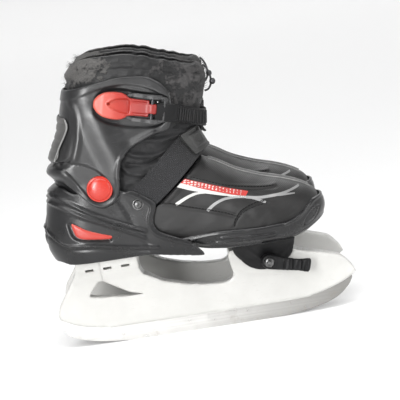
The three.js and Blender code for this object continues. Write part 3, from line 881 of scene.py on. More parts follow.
@dataclass(frozen=True)
class Nylon(Finish):
    """Coated liner cloth: softly shining, with fine ribs, small creases and dusty wear."""

    deep: Triple = (0.0045, 0.0045, 0.005)
    pale: Triple = (0.0145, 0.0145, 0.0155)
    rough: float = 0.5
    crease: float = 0.0016

    def build(self, sheet: NodeSheet) -> None:
        """Builds the liner cloth.

        Args:
            sheet: the new material.
        """
        spot = sheet.spot()
        ribs = sheet.add("TexWave", bands_direction="Z", Vector=sheet.spot(turn=0.35), Scale=260.0, Distortion=1.6,
                         Detail=2.0)
        crease = sheet.noise(sheet.spot((1.6, 1, 1), 0.6), 55, 5, 0.6)
        dust = sheet.noise(spot, 34, 7, 0.7)
        lint = sheet.level(sheet.cells(spot, 420), 0.0, 0.12, 1, 0)
        specks = sheet.sum("MULTIPLY", lint, sheet.level(dust, 0.52, 0.66))
        base = sheet.ramp(dust, (0.36, self.deep), (0.74, self.pale))
        colour = sheet.blend(sheet.sum("MULTIPLY", specks, 0.35), base, (0.22, 0.21, 0.20))
        normal = sheet.bump(ribs.outputs["Fac"], 0.00012)
        normal = sheet.bump(crease, self.crease, 0.8, normal)
        rough = sheet.level(dust, 0.3, 0.7, self.rough - 0.08, self.rough + 0.14)
        sheet.finish(colour, rough, normal, Sheen_Weight=0.06, Specular_IOR_Level=0.3)


@dataclass(frozen=True)
class FlakedCollar(Finish):
    """Collar skin: black coated cloth whose coating has flaked off in dull grey patches."""

    def build(self, sheet: NodeSheet) -> None:
        """Builds the collar skin.

        Args:
            sheet: the new material.
        """
        spot = sheet.spot()
        parts = sheet.add("SeparateXYZ", Vector=spot)
        ragged = sheet.noise(spot, 120, 8, 0.72)
        broad = sheet.noise(spot, 38, 4, 0.6)
        flakes = sheet.cells(sheet.spot((1, 1, 1.3), 0.4), 95, "SMOOTH_F1")
        torn = sheet.sum("ADD", sheet.sum("MULTIPLY", ragged, 2.4), sheet.sum("MULTIPLY", flakes, 0.5))
        rear = sheet.level(parts.outputs[0], -0.045, -0.09)
        high = sheet.level(parts.outputs[2], 0.256, 0.272)
        reach = sheet.sum("MULTIPLY", rear, sheet.sum("MULTIPLY", high, 0.62))
        bare = sheet.level(sheet.sum("ADD", reach, torn), 1.78, 1.84)
        front = sheet.level(parts.outputs[0], -0.03, 0.006, 0.0, 0.42)
        front = sheet.level(sheet.sum("ADD", front, torn), 1.72, 1.86)
        skin = sheet.ramp(broad, (0.35, (0.004, 0.004, 0.0043)), (0.7, (0.011, 0.011, 0.0115)))
        felt = sheet.ramp(sheet.noise(spot, 900, 5, 0.7), (0.3, (0.035, 0.035, 0.035)), (0.75, (0.11, 0.105, 0.1)))
        colour = sheet.blend(bare, skin, felt)
        colour = sheet.blend(sheet.sum("MULTIPLY", front, 0.85), colour, (0.05, 0.048, 0.048))
        rough = sheet.blend(bare, (0.48, 0.48, 0.48), (0.92, 0.92, 0.92))
        rough = sheet.blend(front, rough, (0.9, 0.9, 0.9))
        normal = sheet.bump(sheet.noise(spot, 700, 3, 0.7), 0.00035)
        normal = sheet.bump(sheet.sum("ADD", bare, front), 0.0007, 0.9, normal)
        normal = sheet.bump(sheet.noise(spot, 80, 3, 0.5), 0.0012, 0.8, normal)
        sheet.finish(colour, rough, normal, Sheen_Weight=0.04, Specular_IOR_Level=0.3)


@dataclass(frozen=True)
class Print(Finish):
    """Printed film on the upper: slightly cracked and rubbed, showing the black below."""

    colour: Triple
    rubbed: float = 0.66
    metal: float = 0.0

    def build(self, sheet: NodeSheet) -> None:
        """Builds the film.

        Args:
            sheet: the new material.
        """
        spot = sheet.spot()
        wear = sheet.noise(spot, 260, 7, 0.72)
        tone = sheet.noise(spot, 60, 3)
        dark = tuple(0.72 * c for c in self.colour)
        film = sheet.ramp(tone, (0.3, dark), (0.7, self.colour))
        colour = sheet.blend(sheet.level(wear, self.rubbed, self.rubbed + 0.05), film, (0.02, 0.02, 0.02))
        normal = sheet.bump(wear, 0.0002)
        sheet.finish(colour, sheet.level(wear, 0.3, 0.7, 0.35, 0.6), normal, Metallic=self.metal)


@dataclass(frozen=True)
class Rubber(Finish):
    """Soft matt rubber with a pebbled skin."""

    deep: Triple
    pale: Triple
    pebble: float = 600.0
    rough: float = 0.7

    def build(self, sheet: NodeSheet) -> None:
        """Builds the rubber.

        Args:
            sheet: the new material.
        """
        spot = sheet.spot()
        cloud = sheet.noise(spot, 70, 6, 0.65)
        pebbles = sheet.cells(spot, self.pebble)
        colour = sheet.ramp(cloud, (0.3, self.deep), (0.72, self.pale))
        normal = sheet.bump(pebbles, 0.00012)
        normal = sheet.bump(cloud, 0.0005, 0.6, normal)
        sheet.finish(colour, sheet.level(cloud, 0.3, 0.7, self.rough - 0.1, self.rough + 0.1), normal)


@dataclass(frozen=True)
class DarkMetal(Finish):
    """Blackened steel of pins, bolts and rivets, polished by wear."""

    deep: Triple = (0.02, 0.02, 0.022)
    pale: Triple = (0.09, 0.09, 0.095)
    rough: float = 0.3

    def build(self, sheet: NodeSheet) -> None:
        """Builds the metal.

        Args:
            sheet: the new material.
        """
        spot = sheet.spot()
        cloud = sheet.noise(spot, 210, 6, 0.65)
        colour = sheet.ramp(cloud, (0.35, self.deep), (0.7, self.pale))
        rough = sheet.level(cloud, 0.3, 0.7, self.rough - 0.08, self.rough + 0.14)
        sheet.finish(colour, rough, sheet.bump(sheet.noise(spot, 900, 3), 0.00005), Metallic=0.85)


@dataclass(frozen=True)
class Paddle(Finish):
    """The lever's red plastic: paler at the thumb end, deep red at the hinge."""

    def build(self, sheet: NodeSheet) -> None:
        """Builds the lever's plastic.

        Args:
            sheet: the new material.
        """
        spot = sheet.spot()
        parts = sheet.add("SeparateXYZ", Vector=spot)
        cloud = sheet.noise(spot, 55, 5, 0.6)
        share = sheet.sum("ADD", sheet.level(parts.outputs[0], -0.075, -0.028), sheet.sum("MULTIPLY", cloud, 0.16))
        colour = sheet.ramp(share, (0.1, (0.4, 0.065, 0.043)), (0.5, (0.3, 0.02, 0.012)), (1.0, (0.2, 0.01, 0.007)))
        grime = sheet.level(sheet.noise(spot, 300, 7, 0.7), 0.62, 0.7, 0, 0.35)
        colour = sheet.blend(grime, colour, (0.14, 0.03, 0.02))
        rough = sheet.level(cloud, 0.3, 0.7, 0.3, 0.46)
        normal = sheet.bump(sheet.noise(spot, 90, 3), 0.0003, 0.5)
        sheet.finish(colour, rough, normal, Specular_IOR_Level=0.5)


@dataclass(frozen=True)
class Studio(Finish):
    """Pale seamless floor with the faintest tooth."""

    def build(self, sheet: NodeSheet) -> None:
        """Builds the floor's surface.

        Args:
            sheet: the new material.
        """
        tooth = sheet.noise(sheet.spot(), 180, 3)
        colour = sheet.ramp(tooth, (0.2, (0.92, 0.92, 0.92)), (0.8, (0.95, 0.95, 0.95)))
        sheet.finish(colour, 0.7, sheet.bump(tooth, 0.0001, 0.3))


SHELL = Moulded(
    "shell plastic", (0.005, 0.005, 0.0054), (0.0095, 0.0095, 0.0102), (0.06, 0.06, 0.062), 0.29, 0.07, specular=0.4
)
CUFF = Moulded("cuff plastic", (0.006, 0.006, 0.0064), (0.0115, 0.0115, 0.0122), (0.065, 0.065, 0.068), 0.31, 0.07)
STRAP = Moulded(
    "strap plastic", (0.0035, 0.0035, 0.0038), (0.0065, 0.0065, 0.007), (0.03, 0.03, 0.031), 0.46, 0.06, specular=0.2
)
FRAME = Moulded(
    "buckle frame plastic", (0.03, 0.03, 0.031), (0.055, 0.055, 0.056), (0.08, 0.08, 0.08), 0.46, 0.08, specular=0.35
)
WHITE = Moulded(
    "holder plastic", (0.44, 0.437, 0.42), (0.51, 0.507, 0.49), (0.3, 0.285, 0.26), 0.34, 0.12, 0.00003, 0.35
)
CAP_RED = Moulded("cap plastic", (0.32, 0.014, 0.007), (0.4, 0.022, 0.011), (0.6, 0.13, 0.1), 0.24, 0.06, 0.00003, 0.25)
INLAY_RED = Moulded(
    "inlay plastic", (0.31, 0.02, 0.012), (0.39, 0.036, 0.022), (0.7, 0.2, 0.16), 0.3, 0.08, 0.00003, 0.25
)
INSERT = Moulded("insert plastic", (0.035, 0.035, 0.034), (0.062, 0.06, 0.058), (0.15, 0.15, 0.145), 0.42, 0.1)
PIPING = Moulded("grey piping", (0.11, 0.11, 0.11), (0.19, 0.19, 0.185), (0.34, 0.34, 0.33), 0.42)
THREAD = Cloth(
    "seam thread", (0.003, 0.003, 0.003), (0.008, 0.008, 0.008), 2600.0, 0.0001, 0.9, sheen=0.0, specular=0.05
)
UPPER = Nylon("upper skin", (0.006, 0.0058, 0.0058), (0.012, 0.0115, 0.0115), 0.42, 0.0003)
LINER = Nylon("liner cloth")
COLLAR = FlakedCollar("collar skin")
WEBBING = Cloth("strap webbing", (0.007, 0.007, 0.0075), (0.02, 0.02, 0.0215), 2100.0, 0.0004, 0.78, 0.08)
TAB = Rubber("tab rubber", (0.012, 0.012, 0.012), (0.028, 0.028, 0.027), rough=0.45)
CORD = Cloth("cord", (0.01, 0.01, 0.011), (0.035, 0.035, 0.037), 3000.0, 0.0002)
FIBRE = Rubber("loose fibre", (0.02, 0.02, 0.02), (0.07, 0.07, 0.07), 900.0)
FOAM = Rubber("footbed foam", (0.03, 0.03, 0.032), (0.06, 0.06, 0.062), 380.0)
METAL = DarkMetal("dark metal")
SCREW = DarkMetal("screw metal", (0.045, 0.045, 0.045), (0.2, 0.2, 0.2), 0.2)
STEEL = Steel("runner steel")
PADDLE = Paddle("lever plastic")
FILM_RED = Print("red print", (0.4, 0.02, 0.014), 0.7)
FILM_WHITE = Print("white print", (0.5, 0.5, 0.48), 0.72)
FILM_SILVER = Print("silver print", (0.26, 0.26, 0.26), 0.72, 0.3)


# ---- the skate's main surfaces


def polar(angle: Array, power: Array | float) -> tuple[Array, Array]:
    """A point on a squarish unit circle.

    Args:
        angle: its direction.
        power: 2 for a circle, more for a squarer one.

    Returns:
        Its two coordinates.
    """
    c, s = np.cos(angle), np.sin(angle)
    r = (np.abs(c) ** power + np.abs(s) ** power) ** (-1.0 / power)
    return r * c, r * s


def toe_lean(x: Array, start: float = 20.0, reach: float = 107.0, swing: float = 4.0) -> Array:
    """How far the toe leans to the inner side: swing at reach beyond its start."""
    return swing * np.clip((x - start) / reach, 0, None)


@dataclass(frozen=True)
class HeelWrap:
    """Surface from one side round the heel to the other; u is 0 at the back, 1 where the side starts."""

    back: Curve
    half: Curve
    depth: float
    flare: float = 0.0
    waist: float = -58.0
    front: float = 30.0
    reach: float = 60.0
    power: float = 2.5

    def __call__(self, u: Array, z: Array) -> Array:
        """Places on the surface.

        Args:
            u: way round, negative on the outer side.
            z: height.

        Returns:
            One row per place.
        """
        a = np.abs(u)
        inward, across = polar(np.clip(a, 0, 1) * math.pi / 2, self.power)
        back = self.back(z)
        x = np.where(a < 1, back + self.depth * (1 - inward), back + self.depth + (a - 1) * self.reach)
        wide = self.half(z) + self.flare * np.clip((x - self.waist) / (self.front - self.waist), 0, 1)
        return np.stack([x, np.sign(u) * wide * np.where(a < 1, across, 1.0), z], 1)

    def unwrap(self, x: Array, z: Array) -> Array:
        """Way round at a place seen from the side.

        Args:
            x, z: the place.

        Returns:
            u, from 0 up.
        """
        t = (x - self.back(z)) / self.depth
        inward = 1 - np.clip(t, 0, 1)
        across = np.maximum(1 - inward**self.power, 0) ** (1 / self.power)
        return np.where(t < 1, np.arctan2(across, inward) * 2 / math.pi, 1 + (t - 1) * self.depth / self.reach)

    def outline(self, side_view: Pairs, spacing: float = 2.0, tension: float = 0.35) -> list[Pair]:
        """The outline of a moulding that wraps the heel.

        Args:
            side_view: its edge from the back below to the back above, seen from the side.
            spacing: distance between the outline's points.
            tension: how rounded the corners are.

        Returns:
            A closed outline in u and z.
        """
        line = np.array(rounded(side_view, spacing, tension=tension))
        u = self.unwrap(line[:, 0], line[:, 1])
        outer = [(-float(a), float(z)) for a, z in zip(u, line[:, 1])]
        inner = [(-a, z) for a, z in reversed(outer)]
        closed = outer + inner
        return [p for i, p in enumerate(closed) if math.dist(p, closed[i - 1]) > 1e-6]


@dataclass(frozen=True)
class UpperWrap:
    """The soft upper over the forefoot. w is -1 at the outer rim, 0 on top and 1 at the inner rim."""

    low: Curve = Curve(
        ((-62, 96), (-30, 94), (0, 90), (22, 88), (50, 87), (72, 87), (92, 87), (108, 88), (120, 90), (127, 93))
    )
    top: Curve = Curve((
        (-62, 186), (-30, 182), (0, 178), (22, 172), (50, 156), (72, 147), (92, 141), (108, 134.5), (120, 127),
        (128, 118)
    ))
    half: Curve = Curve((
        (-62, 36.8), (-30, 39.4), (0, 42), (22, 44.4), (50, 46.6), (72, 46.8), (92, 42.5), (108, 35.5), (120, 26.5),
        (127, 15)
    ))
    rim: Curve = Curve(
        ((-44, 95), (-12, 99.5), (20, 102.5), (60, 100.5), (88, 101.5), (105, 108), (118, 117.5), (135, 119))
    )
    crown: float = 2.353
    bilge: float = 4.0

    def lean(self, x: Array) -> Array:
        """How far the toe leans to the inner side."""
        return toe_lean(x)

    def power(self, share: Array) -> Array:
        """How square the section is: more below its middle."""
        return np.where(share < 0, self.bilge, self.crown)

    def section(self, x: Array) -> tuple[Array, Array]:
        """Middle height and half height of the section at x."""
        low, top = self.low(x), self.top(x)
        return (low + top) / 2, (top - low) / 2

    def __call__(self, x: Array, w: Array) -> Array:
        """Places on the upper.

        Args:
            x: place along the foot.
            w: way over it.

        Returns:
            One row per place.
        """
        middle, tall = self.section(x)
        share = np.clip((self.rim(x) - middle) / tall, -0.999, 0.999)
        power = self.power(share)
        start = np.arctan2(share, (1 - np.abs(share) ** power) ** (1 / power))
        angle = start + (1 - np.abs(w)) * (math.pi / 2 - start)
        across, up = polar(angle, self.power(angle))
        return np.stack([x, np.sign(w) * self.half(x) * across + self.lean(x), middle + tall * up], 1)

    def rear_edge(self, w: Array, line: tuple[Pair, Pair], least: float) -> Array:
        """Where the upper ends towards the ankle.

        Args:
            w: ways over the foot.
            line: the slanting edge, seen from the side.
            least: x of the edge below that line.

        Returns:
            x for each w.
        """
        (ax, az), (bx, bz) = line
        low, high = np.full(w.shape, least), np.full(w.shape, bx + 10.0)
        for _ in range(40):
            x = (low + high) / 2
            z = self(x, w)[:, 2]
            want = np.maximum(least, ax + (z - az) * (bx - ax) / (bz - az))
            low, high = np.where(x < want, x, low), np.where(x < want, high, x)
        return (low + high) / 2

    def side(self, sign: float) -> Surface:
        """The upper's outer (-1) or inner (1) face by x and height."""

        def at(x: Array, z: Array) -> Array:
            middle, tall = self.section(x)
            share = np.clip((z - middle) / tall, -0.9999, 0.9999)
            power = self.power(share)
            across = (1 - np.abs(share) ** power) ** (1 / power)
            return np.stack([x, sign * self.half(x) * across + self.lean(x), middle + tall * share], 1)

        return at


@dataclass(frozen=True)
class ToeWrap:
    """The toe shell; s runs back from the nose, negative outside, and t from the rim to the sole's middle."""

    plan: tuple[Pair, ...] = (
        (-37, 38.6), (-4, 41), (20, 45), (40, 47.6), (60, 49.2), (78, 48.6), (94, 44.6), (108, 37.3), (118, 30),
        (126, 20.5),
        (130.3, 11), (131.6, 0),
    )
    low: Curve = Curve((
        (-38, 95), (-4, 88), (6, 85.4), (20, 83.4), (34, 82), (60, 82), (78, 82), (94, 83), (108, 85.5), (120, 90.5),
        (128, 95.5), (132, 99)
    ))
    rim: Curve = Curve(
        ((-44, 97), (-12, 101.5), (20, 104.5), (60, 102.5), (88, 103.5), (105, 110), (118, 119.5), (135, 121))
    )
    nose: Curve = Curve(((82, 122), (90, 127.5), (96, 130.8), (107, 131.6), (114, 130.6), (121, 127.6)))
    bend: float = 95.0
    tip: float = 131.6
    crest: float = 150.0
    square: float = 4.0

    def ring(self) -> tuple[Array, Array]:
        """The plan's line from the nose back: places, and the way to each."""
        line = np.array(rounded(self.plan, 1.0))[::-1]
        return line, np.concatenate([[0], np.cumsum(np.hypot(*np.diff(line, axis=0).T))])

    def length(self) -> float:
        """Way from the nose to the shell's rear end."""
        return float(self.ring()[1][-1])

    def __call__(self, s: Array, t: Array) -> Array:
        """Places on the shell.

        Args:
            s: way round from the nose.
            t: way down from the rim.

        Returns:
            One row per place.
        """
        line, run = self.ring()
        cx, cy = np.interp(np.abs(s), run, line[:, 0]), np.interp(np.abs(s), run, line[:, 1])
        middle = (self.low(cx) + self.crest) / 2
        share = np.clip((middle - self.rim(cx)) / (self.crest - middle), 0.0, 0.99)
        start = np.arctan2(share, (1 - share**self.square) ** (1 / self.square))
        across, down = polar(start + t * (math.pi / 2 - start), self.square)
        spine = np.minimum(cx, self.bend + (cx - self.bend) * 0.25)
        x = spine + (cx - spine) * across
        floor = (self.low(x) + self.crest) / 2
        z = floor - (self.crest - floor) * down
        z = np.where(t <= 0, self.rim(cx), z)
        pull = np.where(x > self.bend, (self.nose(z) - self.bend) / (self.tip - self.bend), 1.0)
        x = np.where(x > self.bend, self.bend + (x - self.bend) * pull, x)
        return np.stack([x, np.sign(s) * cy * across + toe_lean(x), z], 1)


REAR = HeelWrap(
    Curve((
        (84, -140), (94, -144), (107, -149), (120, -151), (140, -147), (156, -143), (164, -141), (168, -137.5),
        (171, -131.5), (174, -127)
    )),
    Curve(((84, 37), (94, 40), (107, 41.5), (130, 42), (180, 42))),
    depth=52.0,
    flare=5.0,
)
ANKLE = HeelWrap(
    Curve((
        (140, -126), (170, -127.5), (174, -130.5), (179, -135), (184, -137.6), (188, -136.8), (191.5, -132.4),
        (195, -133.2), (200, -131.5), (223, -120.5), (240, -116.5), (270, -107)
    )),
    Curve(((140, 45.8), (215, 45.8), (245, 44.8), (275, 42.8))),
    depth=30.0,
)
UPPER_FORM = UpperWrap()
TOE_FORM = ToeWrap()
HOLDER_HALF = Curve(((10, 4.6), (38, 5.4), (52, 7), (64, 10.5), (74, 17), (78, 20), (84, 24), (92, 26)))


def total(*reliefs: Relief) -> Relief:
    """Several reliefs added up."""
    return lambda x, z: sum(r(x, z) for r in reliefs)


def stroke(line: Pairs, widths: Pairs) -> list[Pair]:
    """Outline of a brush stroke.

    Args:
        line: its middle.
        widths: share of its length, and half width there.

    Returns:
        A closed outline.
    """
    p = np.array(rounded(line, 1.5))
    run = np.concatenate([[0], np.cumsum(np.hypot(*np.diff(p, axis=0).T))])
    half = np.interp(run / run[-1], *zip(*widths))
    way = np.gradient(p, axis=0)
    way /= np.linalg.norm(way, axis=1, keepdims=True)
    off = np.stack([-way[:, 1], way[:, 0]], 1) * half[:, None]
    return [tuple(map(float, q)) for q in np.concatenate([p + off, (p - off)[::-1]])]


# ---- blade


@dataclass
class Blade:
    """The steel runner and its white plastic holder with an open window and a triangle behind it."""

    holder_line: tuple[Pair, ...] = (
        (-150, 31.5), (-137, 25), (-124, 21), (-105, 17.5), (-86, 16.5), (80, 16), (106, 18), (124, 22.5), (139, 28),
        (147, 32.5),
    )
    holder_top: tuple[Pair, ...] = (
        (151.5, 36), (148.5, 43), (143, 50), (137, 55), (120, 60.5), (100, 66), (91, 70), (89, 78), (28, 78), (29, 52),
        (26, 47.5), (20, 45.5), (3, 46), (-20, 50), (-42, 57), (-52, 63), (-60, 67.5), (-63, 74), (-63, 90.7),
    )
    holder_rear: tuple[Pair, ...] = (
        (-125, 90.7), (-126, 82), (-129, 75), (-136, 64), (-143, 54), (-149, 45), (-151.5, 36.5),
    )
    triangle: tuple[Pair, ...] = (
        (-101, 66.5), (-95, 62), (-77, 50.5), (-64, 46.5), (-77, 46.5), (-111, 50), (-117, 52.5), (-106, 66.5),
    )
    sole: tuple[Pair, ...] = (
        (-150, 24), (-145, 15), (-138, 10.5), (-128, 7), (-113, 3.6), (-92, 1.2), (-70, 0), (45, 0), (80, 1.2),
        (100, 3.4),
        (112, 5.6), (122, 8.4), (132, 13), (139, 18.5), (144.5, 24.5), (147, 29),
    )
    slot_places: tuple[float, ...] = (-112.0, -94.0, -76.0)
    slot_half: float = 4.2
    slot_low: float = 80.0
    slot_high: float = 82.6
    slot_depth: float = 11.0
    slot_edge: float = 0.6
    runner_half: float = 1.6

    def slab(self, outline: Pairs, step: float, half: Relief, corner: float, extra: tuple[Pairs, ...] = ()) -> Mesh:
        """A slab that is the same on both sides of the centre plane.

        Args:
            outline: its edge, seen from the side.
            step: size of its cells.
            half: half thickness.
            corner: radius of its rounded edges.
            extra: more lines to divide it along, as a plane's point and direction.

        Returns:
            The closed slab.
        """
        bm = cut_sheet(outline, (step, step))
        for point, normal in extra:
            bisect(bm, (*point, 0), (*normal, 0))
        made = bmesh.ops.extrude_face_region(bm, geom=bm.faces[:])["geom"]
        outer = [g for g in made if isinstance(g, bmesh.types.BMVert)]
        known = set(outer)
        rim = rolled(outline, corner)
        for verts, sign in ((outer, -1.0), ([v for v in bm.verts if v not in known], 1.0)):
            flat = np.array([v.co[:2] for v in verts])
            thick = half(flat[:, 0], flat[:, 1]) + rim(flat[:, 0], flat[:, 1])
            for vert, (x, z), t in zip(verts, flat, thick):
                vert.co = (x, sign * t, z)
        settle(bm)
        return bm

    def build(self) -> None:
        """Builds the runner and the holder and dresses them."""
        lower = rounded(self.holder_line, 3.0)
        steel = rounded(self.sole, 3.0) + [(x, z + 5) for x, z in reversed(lower)]
        runner = self.slab(steel, 4.0, flat(self.runner_half), 0.35)
        place(runner, "runner_steel", FIXED, STEEL, "runner_steel", ["blade_runner"], sharp=30)
        slit = 0.004
        top = rounded(self.holder_top, 2.5, tension=0.22)
        rear = rounded(self.holder_rear, 2.5, tension=0.22)
        hole = rounded(self.triangle, 2.0, tension=0.2)
        (x, low), high = self.triangle[0], self.holder_top[-1][1]
        inward = [(x + slit, high), (x + slit, low)]
        outward = [(-106.0, low), (x - slit, low), (x - slit, high)]
        outline = lower + top + inward + hole[1:] + outward + rear
        outline = [p for i, p in enumerate(outline) if math.dist(p, outline[i - 1]) > 1e-4]
        lines: list[tuple[Pair, Pair]] = []
        marks: list[Relief] = []
        half, low, high, lip = self.slot_half, self.slot_low, self.slot_high, self.slot_edge
        for x in self.slot_places:
            lines += [((edge, 0.0), (1.0, 0.0)) for edge in (x - half, x - half + lip, x + half - lip, x + half)]
            marks.append(
                field_of_box(
                    ((x - half, low), (x + half, low), (x + half, high), (x - half, high)), -self.slot_depth, lip
                )
            )
        lines += [((0.0, z), (0.0, 1.0)) for z in (low - 0.1, low + 0.4, high - 0.4, high + 0.1)]
        shape = total(
            lambda x, z: HOLDER_HALF(z),
            ridge(((31, 57), (52, 49), (76, 49), (104, 57)), 3.0, -0.7),
            ridge(((-120, 77), (-66, 77)), 2.5, -0.6),
            *marks,
        )
        holder = self.slab(outline, 1.9, shape, 1.3, tuple(lines))
        place(holder, "holder_body", FIXED, WHITE, "white_plastic", ["blade_holder"], sharp=50)


# ---- rear shell


@dataclass
class RearShell:
    """The hard shell round the heel, its sole, its red inlays and the strap's screw lugs."""

    edge: tuple[Pair, ...] = (
        (-151, 95.5), (-136, 94), (-124, 91), (-55, 91), (-26, 86.5), (3, 83), (-5, 95), (-12, 101), (-23, 106),
        (-37, 113.5),
        (-41, 121), (-40, 128), (-36, 141), (-48, 151.5), (-57, 157), (-68, 159), (-75, 172), (-82, 177), (-92, 177),
        (-98, 172), (-103, 167), (-108, 163.5), (-113, 162.5), (-118, 165), (-123, 169.5), (-126, 171), (-150, 171),
    )
    inlay: tuple[Pair, ...] = (
        (-119.5, 133.5), (-106.5, 125.6), (-94, 120.2), (-83.2, 116.2), (-84.5, 113.4), (-100, 115), (-112, 117.2),
        (-117.4, 120.6), (-119.6, 126.6),
    )
    screw: Pair = (-53.0, 143.0)
    screw_out: float = 42.4
    wall: float = 2.8

    def relief(self) -> Relief:
        """The mouldings of the outside."""
        around = [(-96 + (x + 96) * 1.13 - 1.2, 122 + (z - 122) * 1.28 - 0.8) for x, z in self.inlay]
        return total(
            ridge(((-137, 163), (-126, 157.5), (-116, 151.5), (-92.6, 136.5), (-69.7, 125), (-50, 116)), 2.6, 2.1),
            ridge(((-139, 155), (-127, 150), (-108.5, 139), (-86, 127.6), (-65.4, 117.3), (-52, 110)), 2.6, 2.1),
            ridge(
                ((-152, 132), (-145.8, 127.8), (-137, 118), (-127, 112.1), (-106.5, 109.6), (-70.3, 103), (-40, 98)),
                2.2, 1.5
            ),
            ridge(
                ((-152, 124), (-143, 121), (-134, 113), (-123.4, 107.6), (-100.2, 105), (-82.8, 101.5), (-50, 96)), 2.0,
                -0.8
            ),
            field_of(around, -2.0, 1.8),
            ridge(
                (
                    (-64, 156), (-51, 148.5), (-41, 139.5), (-44.6, 129), (-45.4, 120), (-40, 110.5), (-24, 102.5),
                    (-8, 95.5)
                ),
                1.7, 0.9
            ),
            ridge(((-70, 150), (-63, 134), (-60, 120), (-50, 104)), 5.0, -0.6),
            ridge(((-152, 163.4), (-133, 166)), 1.3, 1.0),
            ridge(((-152, 158.2), (-135, 161)), 1.3, 1.0),
            ridge(((-152, 153), (-137, 156)), 1.3, 1.0),
        )

    def build(self) -> None:
        """Builds the shell, its sole and its inlays and dresses them."""
        outline = REAR.outline(self.edge)
        side_edge = rounded(self.edge, 2.0, tension=0.35)
        bm = cut_sheet(outline, (0.0185, 1.15))
        lay_on(bm, REAR, total(self.relief(), rolled(side_edge[: -4], 1.6)))
        thicken(bm, self.wall)
        place(bm, "rear_moulding", FIXED, SHELL, "shell_black", ["rear_shell"], sharp=58)
        sole = [
            (float(x), float(y)) for x, y, _ in REAR(np.linspace(-1.86, 1.86, 90), np.full(90, 93.0)) * (0.985, 0.95, 1)
        ]
        under = Curve(((-140, 95), (-124, 91.4), (-55, 91.4), (-26, 87.2), (3, 84)))
        floor = plate(sole, 5.0, flat(3.0), 0.0)
        heights = under(coordinates(floor)[:, 0])
        for vert, z in zip(floor.verts, heights):
            vert.co.z += float(z)
        place(floor, "rear_sole", FIXED, SHELL, "shell_black")
        for label, sign in SIDES:
            form = plate(rounded(self.inlay, 1.2, closed=True, tension=0.4), 1.4, flat(1.9), -0.6, 1.1)
            at = coordinates(form)
            depth = REAR(sign * REAR.unwrap(at[:, 0], at[:, 1]), at[:, 1])[:, 1]
            move_to(form, np.stack([at[:, 0], depth + sign * (at[:, 2] - 0.9), at[:, 1]], 1))
            settle(form)
            place(form, f"heel_lens_{label}", FIXED, INLAY_RED, "inlay_red", [f"heel_inlay_{label}"], sharp=55)
            self.screw_head(label, sign)

    def screw_head(self, label: str, sign: float) -> None:
        """The strap's screw with its washer.

        Args:
            label: outer or inner.
            sign: direction of that side.
        """
        profile = (
            (0, 3.4), (0.7, 3.35), (1.1, 2.5), (1.3, 2.45), (3.2, 2.3), (4.2, 1.3), (4.4, 0.4), (5.4, 0.3), (5.8, -0.2),
            (5.6, -1.4), (0, -1.4),
        )
        head = turned_at(profile, 40, (self.screw[0], sign * self.screw_out, self.screw[1]), sign)
        place(head, f"strap_screw_{label}", FIXED, SCREW, "dark_metal", [f"strap_rivet_{label}"], sharp=35)


# ---- cuff


